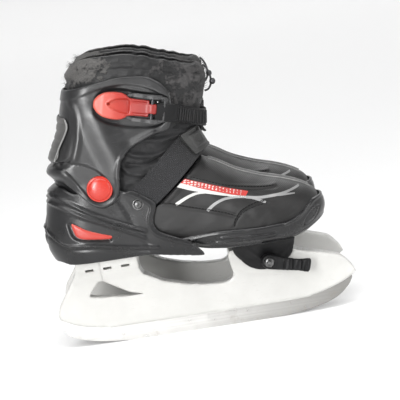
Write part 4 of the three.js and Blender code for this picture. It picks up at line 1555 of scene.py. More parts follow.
@dataclass
class Cuff:
    """The hinged ankle cuff with its back insert and hinge caps."""

    edge: tuple[Pair, ...] = (
        (-150, 173), (-141, 173), (-124, 174), (-115, 168.5), (-101, 153.5), (-94, 147), (-86, 144.5), (-76, 147.5),
        (-70, 154),
        (-67, 164), (-66, 174), (-62, 187), (-55, 195), (-45, 201), (-26, 208), (-12, 211.5), (-6, 229), (-6, 246),
        (-12, 255),
        (-21, 262.5), (-31, 266), (-52, 268), (-65, 267), (-85, 264), (-104, 262.5), (-150, 262),
    )
    leaf: tuple[Pair, ...] = (
        (-132, 193.5), (-119.6, 194.6), (-108.8, 193.6), (-95.9, 189), (-83.7, 180), (-76, 168.5), (-73.6, 160.8),
        (-75.3, 155), (-82, 150.6),
        (-89.7, 150.6), (-97, 154.5), (-106.1, 167.5), (-114.7, 181.5), (-121, 187), (-132, 189.5),
    )
    buckle_seat: tuple[Pair, ...] = (
        (-81, 235), (-80, 246), (-73, 256.5), (-56, 258.5), (-34, 252), (-14, 243), (-11, 222), (-22, 214.5),
        (-43.5, 216), (-60.5, 220.8), (-73, 226.5),
    )
    band: tuple[Pair, ...] = (
        (-145, 252), (-107, 251.5), (-90, 254.5), (-71, 258.6), (-50, 259.5), (-35, 256), (-22, 250), (-12, 243),
        (0, 241), (0, 280), (-145, 280),
    )
    insert: tuple[Pair, ...] = (
        (-150, 196), (-125, 196.5), (-119, 208), (-112, 219), (-107.8, 227.5), (-108.6, 234), (-114, 237), (-150, 238),
    )
    hinge: Pair = (-87.0, 164.0)
    cap_out: float = 45.0
    wall: float = 2.8

    def relief(self) -> Relief:
        """The mouldings of the outside."""
        return total(
            field_of(self.band, 1.0, 1.4),
            field_of(self.buckle_seat, -1.5, 3.0),
            field_of(self.leaf, -1.5, 1.7),
            ridge(((-145, 191.7), (-126, 192.2), (-112, 196)), 2.0, -1.7),
            ridge(((-145, 184), (-126, 184.5), (-118, 180)), 5.5, 1.0),
            ridge(((-145, 203.8), (-128, 204)), 1.6, 0.9),
            ridge(((-106, 197), (-100, 214), (-98, 238), (-102, 250)), 5.0, 0.9),
            ridge(
                (
                    (-118, 172.5), (-104, 157), (-95, 149.2), (-86, 146.8), (-77.5, 149.6), (-72, 156), (-69.3, 165),
                    (-68, 176), (-63.6, 189.5), (-55.5, 197.6), (-44, 203.6), (-26, 210.6)
                ),
                2.2, 0.9
            ),
            ridge(((-80, 234), (-73, 208), (-67, 188), (-65, 170)), 21.0, 3.2),
            ridge(((-58, 206), (-40, 212), (-22, 218)), 6.0, -0.8),
        )

    def build(self) -> None:
        """Builds the cuff, its insert and its caps and dresses them."""
        outline = ANKLE.outline(self.edge)
        side_edge = rounded(self.edge, 2.0, tension=0.35)
        bm = cut_sheet(outline, (0.0195, 1.15))
        lay_on(bm, ANKLE, total(self.relief(), rolled(side_edge, 1.7)))
        thicken(bm, self.wall)
        place(bm, "cuff_moulding", "cuff_set", CUFF, "cuff_black", ["cuff"], sharp=58)
        edge = ANKLE.outline(self.insert, tension=0.5)
        form = cut_sheet(edge, (0.022, 1.4))
        side = rounded(self.insert, 2.0, tension=0.5)
        pads = total(
            rolled(side[1:-1], 1.4),
            *(ridge(((-150, z), (-112 + (z - 205) * 0.1, z + 3)), 2.4, -0.8) for z in (204, 212, 220, 228))
        )
        lay_on(form, ANKLE, lambda x, z: 2.1 + pads(x, z))
        thicken(form, 1.8)
        place(form, "back_insert", "cuff_set", INSERT, "panel_grey", ["cuff_back_panel"], sharp=58)
        for label, sign in SIDES:
            line = np.array(rounded(self.insert[1:6], 2.0))
            at = ANKLE(sign * ANKLE.unwrap(line[:, 0], line[:, 1]), line[:, 1])
            away = at * (1, 1, 0) - (-80.0, 0.0, 0.0)
            away /= np.linalg.norm(away, axis=1, keepdims=True)
            place(tube(at + away * 1.6, 0.8, 8), f"insert_piping_{label}", "cuff_set", PIPING, "panel_grey")
            self.cap(label, sign)

    def cap(self, label: str, sign: float) -> None:
        """A domed cap over the hinge, in a shallow ring.

        Args:
            label: outer or inner.
            sign: direction of that side.
        """
        profile = (
            (0, 4.3), (3, 4.25), (6, 4.0), (8.6, 3.5), (10.2, 2.7), (10.7, 2.2), (11.0, 2.5), (12.2, 2.1), (12.7, 1.2),
            (12.7, -1.4), (0, -1.4),
        )
        form = turned_at(profile, 72, (self.hinge[0], sign * self.cap_out, self.hinge[1]), sign)
        place(form, f"hinge_cap_{label}", "cuff_set", CAP_RED, "cap_red", [f"pivot_cap_{label}"], sharp=40)


# ---- toe section


@dataclass
class ToeSection:
    """The sliding toe: hard shell, sewn upper with its prints, and the clamp on the holder's rail."""

    rear_line: tuple[Pair, Pair] = ((-33.0, 138.5), (19.0, 181.0))
    bolt: Pair = (65.5, 62.5)
    saddle_edge: tuple[Pair, ...] = (
        (30, 84), (31.5, 79), (33, 74), (38, 66.5), (44, 59.5), (50, 55.5), (58, 53), (70, 53), (80, 57.5), (89, 65),
        (92, 74), (94, 84),
    )
    lever_tilt: float = -14.0
    piping_out: float = 9.0
    seams: tuple[tuple[Pair, ...], ...] = (
        ((-33, 140.2), (-25, 138), (-9, 132.4), (12.5, 126), (28.6, 120.6), (38, 116.5)),
        ((36, 107), (38.5, 112), (43, 117.5), (48, 121), (57.4, 124.3), (66, 125.6), (72, 125.4)),
        ((-9, 163), (11.5, 155), (32.9, 146.6), (54.8, 141), (71.3, 138), (83, 137.2)),
    )

    def upper_relief(self) -> Relief:
        """The sewn panels and soft unevenness of the upper."""
        return total(
            *(ridge(line, 2.0, -0.8) for line in self.seams),
            *(ridge([(x, z + 2.3) for x, z in line], 2.2, 0.5) for line in self.seams),
            lambda x, z: 0.18 * wave_field(31, 0.7)(x, z),
            lambda x, z: 0.08 * wave_field(13, 2.1)(x, z),
            ridge(((-8, 150), (10, 136), (30, 124)), 9.0, -0.6),
            ridge(((60, 118), (84, 116), (104, 117)), 9.0, 0.7),
        )

    def hem(self, x: Array, z: Array) -> Array:
        """The padded, rolled edge of the upper round the ankle."""
        (ax, az), (bx, bz) = self.rear_line
        gap = np.where(z > az, ((x - ax) * (bz - az) - (z - az) * (bx - ax)) / math.hypot(bx - ax, bz - az), x + 60.0)
        return 0.9 * smooth(1 - np.abs(gap - 3.5) / 3.5) - 1.4 * smooth(1 - gap / 1.6)

    def build(self) -> None:
        """Builds the toe section and dresses it."""
        self.shell()
        self.upper()
        self.prints()
        self.clamp()

    def shell(self) -> None:
        """The hard toe shell with its ribs and bumper."""
        reach = TOE_FORM.length()
        bm = grid_sheet((-reach, reach), (0.0, 1.0), (260, 74))
        lens = ((103, 95), (106, 102), (112, 108), (119, 111.5), (124, 111.5), (122, 105), (117, 99.5), (110, 95.5))
        ribs = total(
            ridge(((22, 97.6), (40, 96.8), (60, 95.6), (74, 95.0)), 1.3, 1.4),
            ridge(((16, 94.2), (30, 92.4), (48, 91.4), (78, 91.2)), 1.3, 1.5),
            ridge(((12, 90), (26, 88.0), (42, 86.8), (60, 86.6)), 1.3, 1.4),
            field_of(lens, -1.7, 1.6),
            ridge(((84, 100.5), (98, 104), (108, 110), (118, 117.5), (130, 120)), 2.4, 0.9),
            ridge(((-38, 94.5), (-12, 98.8), (20, 101.8), (60, 99.9), (88, 100.8)), 1.3, 0.6),
            ridge(((80, 87.5), (100, 89.5), (116, 94.5), (132, 103)), 1.6, 0.7),
        )
        rim = lambda x, z: -1.5 * (1 - np.sqrt(np.clip(1 - np.clip(1 - (TOE_FORM.rim(x) - z) / 1.5, 0, 1) ** 2, 0, 1)))
        side_only = lambda x, z: ribs(x, z) * smooth((z - TOE_FORM.low(x) - 1.0) / 2.0)
        lay_on(bm, TOE_FORM, total(side_only, rim), (45.0, 0.0, 112.0))
        weld(bm)
        thicken(bm, 2.6)
        place(bm, "toe_moulding", "toe_section", SHELL, "shell_black", ["toe_shell"], sharp=58)

    def upper(self) -> None:
        """The soft upper, its seams and piping."""
        w = np.linspace(-1, 1, 161)
        rear = UPPER_FORM.rear_edge(w, self.rear_line, -50.0)
        outline = [(float(x), float(v)) for x, v in zip(rear, w)] + [(123.6, float(v)) for v in w[::-1]]
        bm = cut_sheet(outline, (1.3, 0.0105))
        relief = self.upper_relief()
        lay_on(bm, UPPER_FORM, total(relief, self.hem), (30.0, 0.0, 110.0))
        weld(bm)
        thicken(bm, 2.2)
        place(bm, "upper_skin", "toe_section", UPPER, "upper_fabric", ["vamp"], sharp=60)
        for label, sign in SIDES:
            face = UPPER_FORM.side(sign)
            rows = []
            for index, line in enumerate(self.seams):
                for gap in ((-0.9, 2.2) if index == 1 else (1.7,)):
                    points = np.array(rounded([(x, z + gap) for x, z in line], 1.2))
                    lift = relief(points[:, 0], points[:, 1])[:, None] + 0.1
                    out = np.array([0.0, sign, 0.35])
                    rows.append(dashes(face(points[:, 0], points[:, 1]) + out * lift, 1.9, 1.3, 0.42))
            place(join(*rows), f"seam_stitches_{label}", "toe_section", THREAD, "upper_fabric")
        x = np.linspace(22, 117, 60)
        middle, tall = UPPER_FORM.section(x)
        for label, sign in SIDES:
            offset = sign * self.piping_out
            drop = (1 - (np.abs(offset) / UPPER_FORM.half(x)) ** UPPER_FORM.crown) ** (1 / UPPER_FORM.crown)
            path = np.stack([x, offset + UPPER_FORM.lean(x), middle + tall * drop + 0.3], 1)
            place(tube(path, 0.75, 8), f"top_piping_{label}", "toe_section", PIPING, "upper_fabric")

    @staticmethod
    def hatching() -> list[list[Pair]]:
        """Slanting bars that break up the red band, broad at its rear end and fine at its front end."""
        bars = []
        for x in np.arange(-6.4, 47.0, 3.3):
            share = (x + 6.0) / 54.0
            high, low = 159.1 - 0.353 * (x + 4.4) - 0.5, 155.3 - 0.36 * (x + 7.0) + 0.3 + 0.8 * share
            width = 2.3 - 1.5 * share
            bars.append(
                [(x + 1.1, high), (x + 1.1 + width, high - 0.35 * width), (x + width, low - 0.35 * width), (x, low)]
            )
        return bars

    def prints(self) -> None:
        """The printed stripes: thin film that lies on the upper."""
        films: dict[Print, list[list[Pair]]] = {
            FILM_RED: [[(-4.4, 159.6), (54.8, 138.7), (51.6, 134.9), (38.6, 138.3), (12.5, 147.6), (-9.0, 156.4)]],
            FILM_WHITE: [
                [
                    (-9.2, 156.5), (12.5, 147.5), (38.6, 138.2), (51.9, 134.6), (51.6, 133.3), (38.3, 136.4),
                    (11.8, 143.9), (-2.2, 148.9), (-13.2, 153.2)
                ],
                *self.hatching(),
                stroke(
                    ((-16.5, 136.7), (-8.1, 140.7), (-0.4, 143.5), (6.8, 144.6), (15, 143.8)),
                    ((0, 1.5), (0.6, 1.3), (1, 0.5))
                ),
            ],
            FILM_SILVER: [
                stroke(
                    (
                        (12.5, 126.1), (20.1, 131.5), (29, 135.0), (38.1, 135.7), (49.9, 134.2), (59.3, 131.3),
                        (70, 125.8)
                    ),
                    ((0, 1.5), (0.4, 1.2), (0.8, 1.0), (1, 1.1))
                ),
                stroke(
                    ((51.7, 133.8), (63.3, 131.4), (75.2, 130.7), (87.4, 130.7), (98.1, 132.0), (106, 133.2)),
                    ((0, 1.3), (0.5, 1.3), (1, 0.8))
                ),
                stroke(((74, 130.9), (87.2, 129.6), (100, 128.3)), ((0, 0.6), (0.5, 1.0), (1, 0.5))),
            ],
        }
        relief = self.upper_relief()
        for label, sign in SIDES:
            face = UPPER_FORM.side(sign)
            for film, outlines in films.items():
                pieces = []
                for outline in outlines:
                    bm = cut_sheet(outline, (1.6, 1.6))
                    lay_on(bm, face, lambda x, z: relief(x, z) + self.hem(x, z) + 0.22, (30.0, 0.0, 100.0))
                    thicken(bm, 0.3)
                    pieces.append(bm)
                colour = film.name.split()[0]
                place(join(*pieces), f"print_{colour}_{label}", "toe_section", film, "upper_fabric", sharp=70)

    def clamp(self) -> None:
        """The saddle round the rail, its bolt and its quick lever."""
        x, z = self.bolt
        axle = (x, 0.0, z)
        boss = ((0, 19.4), (6.2, 19.4), (7.5, 18.6), (7.8, 12.5), (0, 12.5))
        parts = []
        for _, sign in SIDES:
            cheek = cut_sheet(rounded(self.saddle_edge, 2.0, tension=0.3), (1.8, 1.8))
            form = total(
                ridge(((36, 76), (44, 66), (52, 60)), 2.0, 0.9),
                ridge(((46, 79), (54, 70), (60, 64)), 2.0, 0.9),
                ridge(((88, 79), (82, 70), (74, 62)), 2.0, 0.8),
                rolled(self.saddle_edge, 1.2),
            )
            lay_on(cheek, lambda x, z, s=sign: np.stack([x, s * (HOLDER_HALF(z) + 4.0), z], 1), form, (62.0, 0.0, 66.0))
            thicken(cheek, 3.2)
            parts += [cheek, turned_at(boss, 40, axle, sign)]
        place(join(*parts), "clamp_saddle", "toe_section", STRAP, "strap_plastic", ["saddle"], sharp=50)
        profile = (
            (0, 28.6), (1.6, 28.5), (2.2, 27.6), (3.4, 27.5), (4.6, 26.6), (5.2, 25.3), (5.2, 24.8), (3.0, 24.8),
            (3.0, -21.5), (5.0, -21.5), (5.0, -24), (4.2, -24.6), (0, -24.6),
        )
        head = turned_at(profile, 44, axle, -1.0)
        place(head, "clamp_bolt", "toe_section", SCREW, "dark_metal", ["adjust_bolt"], sharp=35)
        arm = (
            (-7.5, -2), (-5.4, -5.4), (0, -7.6), (12, -7.2), (30, -6.2), (40, -6.6), (41.6, 0), (40.6, 6.4), (29, 5.0),
            (12, 5.8), (0, 7.6), (-5.4, 5.4), (-7.5, 2),
        )
        grips = total(*(ridge(((at, -9), (at + 0.6, 9)), 1.05, 1.3) for at in (15.0, 19.2, 23.4, 27.6, 31.8, 36.0)))
        hub = lambda u, v: 1.2 * smooth((8.0 - np.hypot(u, v)) / 2.0)
        form = plate(
            rounded(arm, 1.4, closed=True, tension=0.35), 0.95, lambda u, v: 4.0 + grips(u, v) + hub(u, v), 0.0, 1.0
        )
        at = coordinates(form)
        turn = math.radians(self.lever_tilt)
        along, up = at[:, 0], at[:, 1]
        move_to(
            form,
            np.stack(
                [
                    x + along * math.cos(turn) - up * math.sin(turn), -19.8 - at[:, 2],
                    z + along * math.sin(turn) + up * math.cos(turn)
                ],
                1
            )
        )
        settle(form)
        place(form, "clamp_lever", "size_lever", STRAP, "strap_plastic", ["adjust_lever"], sharp=50)


# ---- straps


@dataclass(frozen=True)
class Ribbon:
    """A strap that follows stations: each has a place, the way across it and the way out of it."""

    stations: tuple[tuple[Triple, Triple, Triple], ...]
    width: float
    thickness: float

    def frames(self, share: Array) -> tuple[Array, Array, Array]:
        """Place, across and out at each share of the strap's length.

        Args:
            share: from 0 to 1.

        Returns:
            Three arrays of rows.
        """
        rows = [np.array(part, float) for part in zip(*self.stations)]
        run = np.concatenate([[0], np.cumsum(np.linalg.norm(np.diff(rows[0], axis=0), axis=1))])
        run /= run[-1]
        out = []
        for values in rows:
            tangents = np.gradient(values, run, axis=0)
            i = np.clip(np.searchsorted(run, share, side="right") - 1, 0, len(run) - 2)
            h = (run[i + 1] - run[i])[:, None]
            t = ((share - run[i]) / (run[i + 1] - run[i]))[:, None]
            out.append(hermite(t, values[i], tangents[i] * h, values[i + 1], tangents[i + 1] * h))
        unit = lambda v: v / np.linalg.norm(v, axis=1, keepdims=True)
        return out[0], unit(out[1]), unit(out[2])

    def length(self) -> float:
        """Length along the strap's middle."""
        at = self.frames(np.linspace(0, 1, 200))[0]
        return float(np.linalg.norm(np.diff(at, axis=0), axis=1).sum())

    def build(self, counts: tuple[int, int], lift: Relief) -> Mesh:
        """The strap as a closed band.

        Args:
            counts: cells along and across.
            lift: relief of its outer face, by length along and place across.

        Returns:
            The band, with its own map along and across in metres.
        """
        size = self.length()
        bm = grid_sheet((0, 1), (-0.5, 0.5), counts)
        layer = bm.loops.layers.uv.new("strap")
        for face in bm.faces:
            for loop in face.loops:
                loop[layer].uv = (loop.vert.co.x * size * MM, loop.vert.co.y * self.width * MM)
        flat = coordinates(bm)
        at, across, out = self.frames(flat[:, 0])
        v = flat[:, 1:2] * self.width
        edge = np.clip((np.abs(v) - self.width / 2 + 0.9) / 0.9, 0, 1)
        rise = lift(flat[:, 0] * size, v[:, 0])[:, None] - 0.5 * edge**2
        move_to(bm, at + across * v + out * (self.thickness / 2 + rise))
        bm.normal_update()
        bm.verts.index_update()
        if sum(f.normal.dot(Vector(out[f.verts[0].index])) for f in bm.faces) < 0:
            turn_over(bm)
        thicken(bm, self.thickness)
        return bm


def both_halves(side: Pairs, end: Pair) -> Pairs:
    """An outline that is the same on both sides of its first axis, from one side and the point between."""
    return (*side, end, *((u, -v) for u, v in reversed(side)))


def both_ways(side: Sequence[tuple], top: tuple) -> tuple:
    """Stations of a strap that goes over the foot from one side to the other.

    Args:
        side: stations on the outer side.
        top: the station in the middle.

    Returns:
        All the stations.
    """
    turn = lambda v: (v[0], -v[1], v[2])
    other = tuple((turn(at), across, turn(out)) for at, across, out in reversed(side))
    return (*side, top, *other)


@dataclass
class Straps:
    """The woven instep strap with its rubber tab, and the ribbed ratchet strap of the buckle."""

    instep: Ribbon = Ribbon(both_ways((
        ((-56, -37.4, 141.5), (0.79, 0, -0.62), (0, -1, 0)),
        ((-38, -39.2, 154.5), (0.77, 0, -0.64), (0, -1, 0)),
        ((-22, -39.9, 167.5), (0.72, 0, -0.69), (0.12, -1, 0.12)),
        ((-6, -35.6, 181.3), (0.62, 0, -0.78), (0.5, -0.9, 0.35)),
        ((6, -25.6, 190.6), (0.48, 0, -0.88), (0.8, -0.5, 0.4)),
        ((12.6, -12.6, 194.6), (0.4, 0, -0.92), (0.9, -0.2, 0.38)),
    ), ((14, 0, 195.5), (0.4, 0, -0.92), (0.92, 0, 0.4))), 28.0, 2.0)
    tab: Ribbon = Ribbon((
        ((3.0, -31.5, 191.4), (0.52, 0, -0.86), (0.7, -0.8, 0.4)),
        ((9.4, -26.4, 193.4), (0.46, 0, -0.88), (0.82, -0.56, 0.4)),
        ((15.6, -18, 195.6), (0.42, 0, -0.9), (0.88, -0.34, 0.4)),
        ((19.0, -7, 196.8), (0.4, 0, -0.92), (0.92, -0.08, 0.4)),
        ((19.2, 2, 196.8), (0.4, 0, -0.92), (0.92, 0.08, 0.4)),
    ), 24.5, 2.4)
    ladder: Ribbon = Ribbon((
        ((-22, -50.6, 230.2), (0.24, 0, 0.96), (0, -1, 0)),
        ((-13, -50.0, 228.2), (0.25, 0, 0.96), (0, -1, 0)),
        ((-3, -47.8, 225.6), (0.26, 0, 0.96), (0.25, -1, 0)),
        ((7.4, -38, 221.2), (0.24, 0, 0.96), (0.75, -1, 0)),
        ((16.4, -25, 216.8), (0.2, 0, 0.98), (0.95, -0.8, 0)),
        ((22.6, -11.5, 214), (0.15, 0, 0.99), (1, -0.35, 0)),
        ((24.8, 0, 213), (0.14, 0, 0.99), (1, 0, 0)),
        ((22.6, 11.5, 214), (0.15, 0, 0.99), (1, 0.35, 0)),
        ((16.4, 25, 217.2), (0.2, 0, 0.98), (0.95, 0.8, 0)),
        ((7.4, 38, 222), (0.24, 0, 0.96), (0.75, 1, 0)),
        ((-3, 47.8, 228), (0.26, 0, 0.96), (0.25, 1, 0)),
        ((-14, 47.6, 231.6), (0.27, 0, 0.96), (0, 1, 0)),
        ((-34, 47.6, 237), (0.27, 0, 0.96), (0, 1, 0)),
    ), 17.4, 2.2)
    rivet: Triple = (-27.0, 48.9, 235.2)

    def build(self) -> None:
        """Builds the straps and dresses them."""
        turn = 2 * math.pi
        weave = lambda u, v: (
            0.16 * np.sin(u * turn / 2.2) * np.sin(v * turn / 2.6)
            + 0.3 * smooth((np.abs(v) - 11.2) / 0.8) + 0.25 * np.sin(u * 0.21 + v * 0.1)
        )
        place(
            self.instep.build((250, 44), weave), "instep_webbing", FIXED, WEBBING, "webbing", ["instep_strap"], sharp=60
        )
        badge = lambda u, v: (
            0.8 * smooth((7.6 - np.abs(v)) / 1.2) * smooth((10.5 - np.abs(u - 16.5)) / 1.4)
            - 0.55 * smooth((4.6 - np.hypot((u - 16.5) / 1.25, v)) / 0.9) + 0.5 * smooth((np.abs(v) - 9.8) / 0.8)
        )
        place(self.tab.build((60, 44), badge), "strap_tab_pad", FIXED, TAB, "tab_rubber", ["strap_tab"], sharp=60)
        teeth = lambda u, v: (
            0.95 * smooth((7.0 - np.abs(v)) / 0.8) * smooth(0.5 + 0.9 * np.sin(u * turn / 3.1))
            * smooth((u - 20) / 2) * smooth((96 - u) / 2) + 0.5 * smooth((np.abs(v) - 7.3) / 0.5)
        )
        place(
            self.ladder.build((300, 26), teeth), "ratchet_strap", "cuff_set", STRAP, "strap_plastic", ["ladder_strap"],
            sharp=50
        )
        head = turned_at(((0, 3.2), (2.2, 3.0), (4.2, 2.0), (5.0, 0.7), (5.0, -0.4), (0, -0.4)), 32, self.rivet, 1.0)
        place(head, "ratchet_rivet", "cuff_set", METAL, "dark_metal", ["ladder_rivet"], sharp=35)


# ---- buckle


@dataclass
class Buckle:
    """The lever buckle. Its own axes: u towards the heel, v up across it, h out of the cuff."""

    pin: Pair = (-24.0, 237.0)
    tilt: float = 14.2
    shift: float = -3.6
    seat: float = 46.0

    def set_in(self, bm: Mesh) -> Mesh:
        """Moves a piece from the buckle's axes to the skate's.

        Args:
            bm: the piece.

        Returns:
            The same piece.
        """
        at = coordinates(bm)
        c, s = math.cos(math.radians(self.tilt)), math.sin(math.radians(self.tilt))
        u, v = at[:, 0], at[:, 1] + self.shift
        move_to(bm, np.stack([self.pin[0] - u * c + v * s, -at[:, 2], self.pin[1] + u * s + v * c], 1))
        settle(bm)
        return bm

    def build(self) -> None:
        """Builds the frame, the lever and its pins and dresses them."""
        base = self.seat + 0.2
        frame_edge = both_halves(((-15.5, -9), (-13, -12), (0, -12.8), (14, -13.2), (22, -12.6), (26, -9)), (27, 0))
        well = field_of(((-9, -8.6), (22, -9), (22, 9), (-9, 8.6)), -2.3, 1.5)

        def deck(u: Array, v: Array) -> Array:
            """The frame's floor, and the block at its front with a pocket at each side of the lever."""
            pocket = 4.7 * smooth((np.abs(v) - 4.0) / 1.0) * smooth((10.4 - np.abs(v)) / 1.0)
            return base + 3.0 + well(u, v) + 4.3 * smooth(
                (-5.4 - pocket - u) / 1.6
            ) - 0.16 * np.clip(-9 - u, 0, None) ** 2

        plate_form = plate(rounded(frame_edge, 1.2, closed=True, tension=0.3), 0.9, deck, base, 1.2)
        parts = [self.set_in(plate_form)]
        for side in (-1.0, 1.0):
            ear = (
                (-8.5, base + 1.5), (-8.8, 51.5), (-5.5, 55.2), (0, 56.6), (5.5, 55.0), (10, 51.6), (19, 49.4),
                (20, base + 1.5)
            )
            form = plate(rounded(ear, 1.2, closed=True, tension=0.25), 1.2, flat(1.9), -1.9, 0.8)
            at = coordinates(form)
            move_to(form, np.stack([at[:, 0], side * 11.6 + at[:, 2], at[:, 1]], 1))
            parts.append(self.set_in(form))
        place(join(*parts), "buckle_frame", "cuff_set", FRAME, "dark_metal", ["buckle_base"], sharp=45)
        edge = both_halves((
            (-4.2, -4.5), (2.6, -4.8), (3.0, -7.9), (9, -8), (16, -8), (22, -8.6), (25.5, -11), (30, -12.8), (38, -13),
            (46, -11.6), (52, -8.2), (55.6, -3.6),
        ), (56.2, 0))
        scoop = rounded(
            (
                (43, 1.4), (39, 5.2), (33, 7.6), (26, 8.2), (21.6, 7.6), (20.8, 0), (21.6, -6.8), (28, -6.6),
                (35, -4.8), (40.4, -1.8)
            ),
            1.5, closed=True, tension=0.4
        )

        def top(u: Array, v: Array) -> Array:
            """The lever's back: a low neck, a step, a thumb pad scooped out to a small hole."""
            neck = 53.3 + 1.6 * smooth(1 - np.abs(u) / 6)
            pad = 54.6 + 1.1 * smooth((u - 24) / 14) - 1.9 * smooth((u - 46) / 11)
            body = neck + (pad - neck) * smooth((u - 20.5 + 0.12 * v) / 4.0)
            edge_gap = line_distance(u, v, scoop, True)
            hollow = inside(u, v, scoop)
            dish = np.where(hollow, -(1.3 + 0.11 * (42 - u)) * smooth(edge_gap / 2.2), 0.0)
            lip = np.where(hollow, 0.0, 0.55 * smooth(1 - edge_gap / 1.5)) * smooth((u - 23) / 3)
            groove = -1.0 * smooth(1 - np.abs(np.abs(v) - 5.4) / 1.0) * smooth((20 - u) / 3) * smooth((u - 3) / 2)
            return body + dish + lip + groove - 3.2 * smooth(1.3 - np.hypot(u - 41.6, v - 1.4) / 1.5)

        lever = plate(rounded(edge, 1.2, closed=True, tension=0.35), 0.72, top, 50.3, 1.6)
        place(self.set_in(lever), "lever_paddle", "buckle", PADDLE, "lever_red", ["buckle_lever"], sharp=50)
        pin = tube([(0, -11.4, 53), (0, 0, 53), (0, 11.4, 53)], 1.4, 20)
        place(self.set_in(pin), "hinge_pin", "buckle", METAL, "dark_metal", ["buckle_pin"])
        studs = []
        for v in (-7.2, 7.2):
            stud = turned(((0, 1.7), (0.9, 1.5), (1.5, 0.6), (1.6, -1.8), (0, -1.8)), 16)
            bmesh.ops.translate(stud, verts=stud.verts[:], vec=(-5.4, v, base + 3.4))
            studs.append(self.set_in(stud))
        place(join(*studs), "frame_studs", "cuff_set", SCREW, "dark_metal")


# ---- liner


@dataclass
class Liner:
    """The removable boot: ankle sleeve, puffy collar, footbed, and its pull cord with a bead."""

    sleeve: tuple[tuple[float, float, float, float], ...] = (
        (100, -134, -20, 30), (118, -138, -8, 32.5), (140, -137, 2, 34), (160, -132, 7, 35.8), (180, -125, 9.5, 36.8),
        (192, -121, 10.8, 37),
        (204, -117.5, 15, 37.6), (212, -114, 19, 37), (223, -112, 19.6, 36.4),
    )
    rim: Curve = Curve(
        ((-108, 279), (-98, 286), (-75, 289.6), (-50, 289), (-20, 281.5), (0, 274), (18, 269), (32, 266))
    )
    foot: Curve = Curve(((-115, 206), (-40, 206), (-12, 210), (4, 216.5), (14, 220), (22, 221)))
    stations: tuple[tuple[float, float, float, float], ...] = (
        (0, -115.5, 20, 39.4), (0.16, -112.5, 23.5, 40.8), (0.4, -109.5, 28, 41.4), (0.62, -107.5, 30.8, 41),
        (0.85, -106, 32.4, 39.6), (1, -102.5, 30, 36.4),
    )
    wall: float = 9.0
    cord: tuple[tuple[float, float], ...] = (
        (30.6, 264), (33.2, 261), (35.4, 255.5), (36.2, 249.5), (35.2, 243.5), (32.4, 239.5), (29.0, 238.6)
    )

    @staticmethod
    def oval(angle: Array, back: Array, front: Array, wide: Array) -> tuple[Array, Array]:
        """A squarish oval section.

        Args:
            angle: way round it.
            back, front, wide: its ends and half width.

        Returns:
            x and y.
        """
        c, s = polar(angle, 2.2)
        return (back + front) / 2 + (front - back) / 2 * c, wide * s

    def build_sleeve(self) -> None:
        """The sleeve between the shells, with the folds of worn cloth."""
        bm = grid_sheet((0.0, 2 * math.pi), (102.0, 222.0), (220, 98))
        curves = [Curve(tuple((row[0], row[k]) for row in self.sleeve)) for k in (1, 2, 3)]

        def surface(u: Array, z: Array) -> Array:
            """The sleeve's outside."""
            x, y = self.oval(u, *(c(z) for c in curves))
            return np.stack([x, y, z], 1)

        folds = total(
            ridge(((-62, 214), (-44, 205), (-20, 201), (4, 204)), 4.0, 2.2),
            ridge(((-64, 200), (-48, 190), (-26, 187), (-4, 196)), 4.2, 2.6),
            ridge(((-66, 186), (-56, 174), (-44, 170)), 4.0, 2.4),
            ridge(((-58, 182), (-40, 179), (-24, 184), (-8, 190)), 3.4, -2.4),
            ridge(((-60, 164), (-46, 160), (-34, 152)), 4.0, 0.8),
            ridge(((-10, 210), (6, 204), (16, 206)), 3.5, 1.2),
            lambda x, z: 0.7 * wave_field(24, 1.9)(x, z) + 0.35 * wave_field(11, 0.4)(x, z),
        )
        heel = lambda x, z: 3.4 * smooth((-84 - x) / 16) * smooth((z - 108) / 12) * smooth((187 - z) / 10)
        quiet = lambda x, z: folds(x, z) * smooth((x + 74) / 16) * smooth((z - 146) / 14) + heel(x, z)
        lay_on(bm, surface, quiet, (-55.0, 0.0, 160.0))
        weld(bm)
        thicken(bm, 3.2)

        def bend(obj: bpy.types.Object, side: Side) -> None:
            """Bakes the sleeve's placement into its mesh."""
            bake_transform(obj)

        place(bm, "liner_sleeve", FIXED, LINER, "liner_fabric", ["inner_boot"], sharp=70, shape=bend, ride=False)

    def build_collar(self) -> None:
        """The padded collar, with the folds of stuffed cloth."""
        bm = grid_sheet((0.0, 2 * math.pi), (0.0, 1.0), (190, 84))
        share = Curve(((0, 0), (0.4, 0.86), (0.46, 0.95), (0.5, 0.985), (0.54, 0.97), (0.6, 0.88), (1, 0)))
        inset = Curve(
            ((0, 0), (0.36, 0.0), (0.44, 1.4), (0.5, 4.5), (0.56, 7.6), (0.64, 9.0), (0.93, 9.0), (0.97, 7.5), (1, 4.5))
        )
        curves = [Curve(tuple((row[0], row[k]) for row in self.stations)) for k in (1, 2, 3)]

        def surface(u: Array, p: Array) -> Array:
            """The collar's skin, outside, over the rim and down the inside."""
            s, t = share(p % 1.0), inset(p % 1.0)
            back, front, wide = (c(s) for c in curves)
            x, y = self.oval(u, back + t, front - t, wide - t)
            z = self.foot(x) + (self.rim(x) - self.foot(x)) * s
            return np.stack([x, y, z], 1)

        folds = total(
            ridge(((-104, 268), (-84, 277), (-52, 279), (-20, 272), (10, 262), (30, 258)), 4.0, -2.4),
            ridge(((-104, 276), (-84, 285), (-52, 286), (-20, 280), (8, 270), (28, 265)), 6.0, 1.2),
            ridge(((4, 260), (10, 246), (20, 232)), 4.5, 1.5),
            ridge(((14, 262), (19, 248), (26, 240)), 3.0, -1.6),
            lambda x, z: 0.9 * wave_field(27, 0.3)(x, z) + 0.45 * wave_field(12, 1.4)(x, z),
        )
        quiet = lambda x, z: folds(x, z) * smooth((z - 244) / 20 + np.clip((x + 6) / 14, 0, 1))
        lay_on(bm, surface, quiet, (-40.0, 0.0, 240.0))
        weld(bm, 0.3)
        settle(bm)

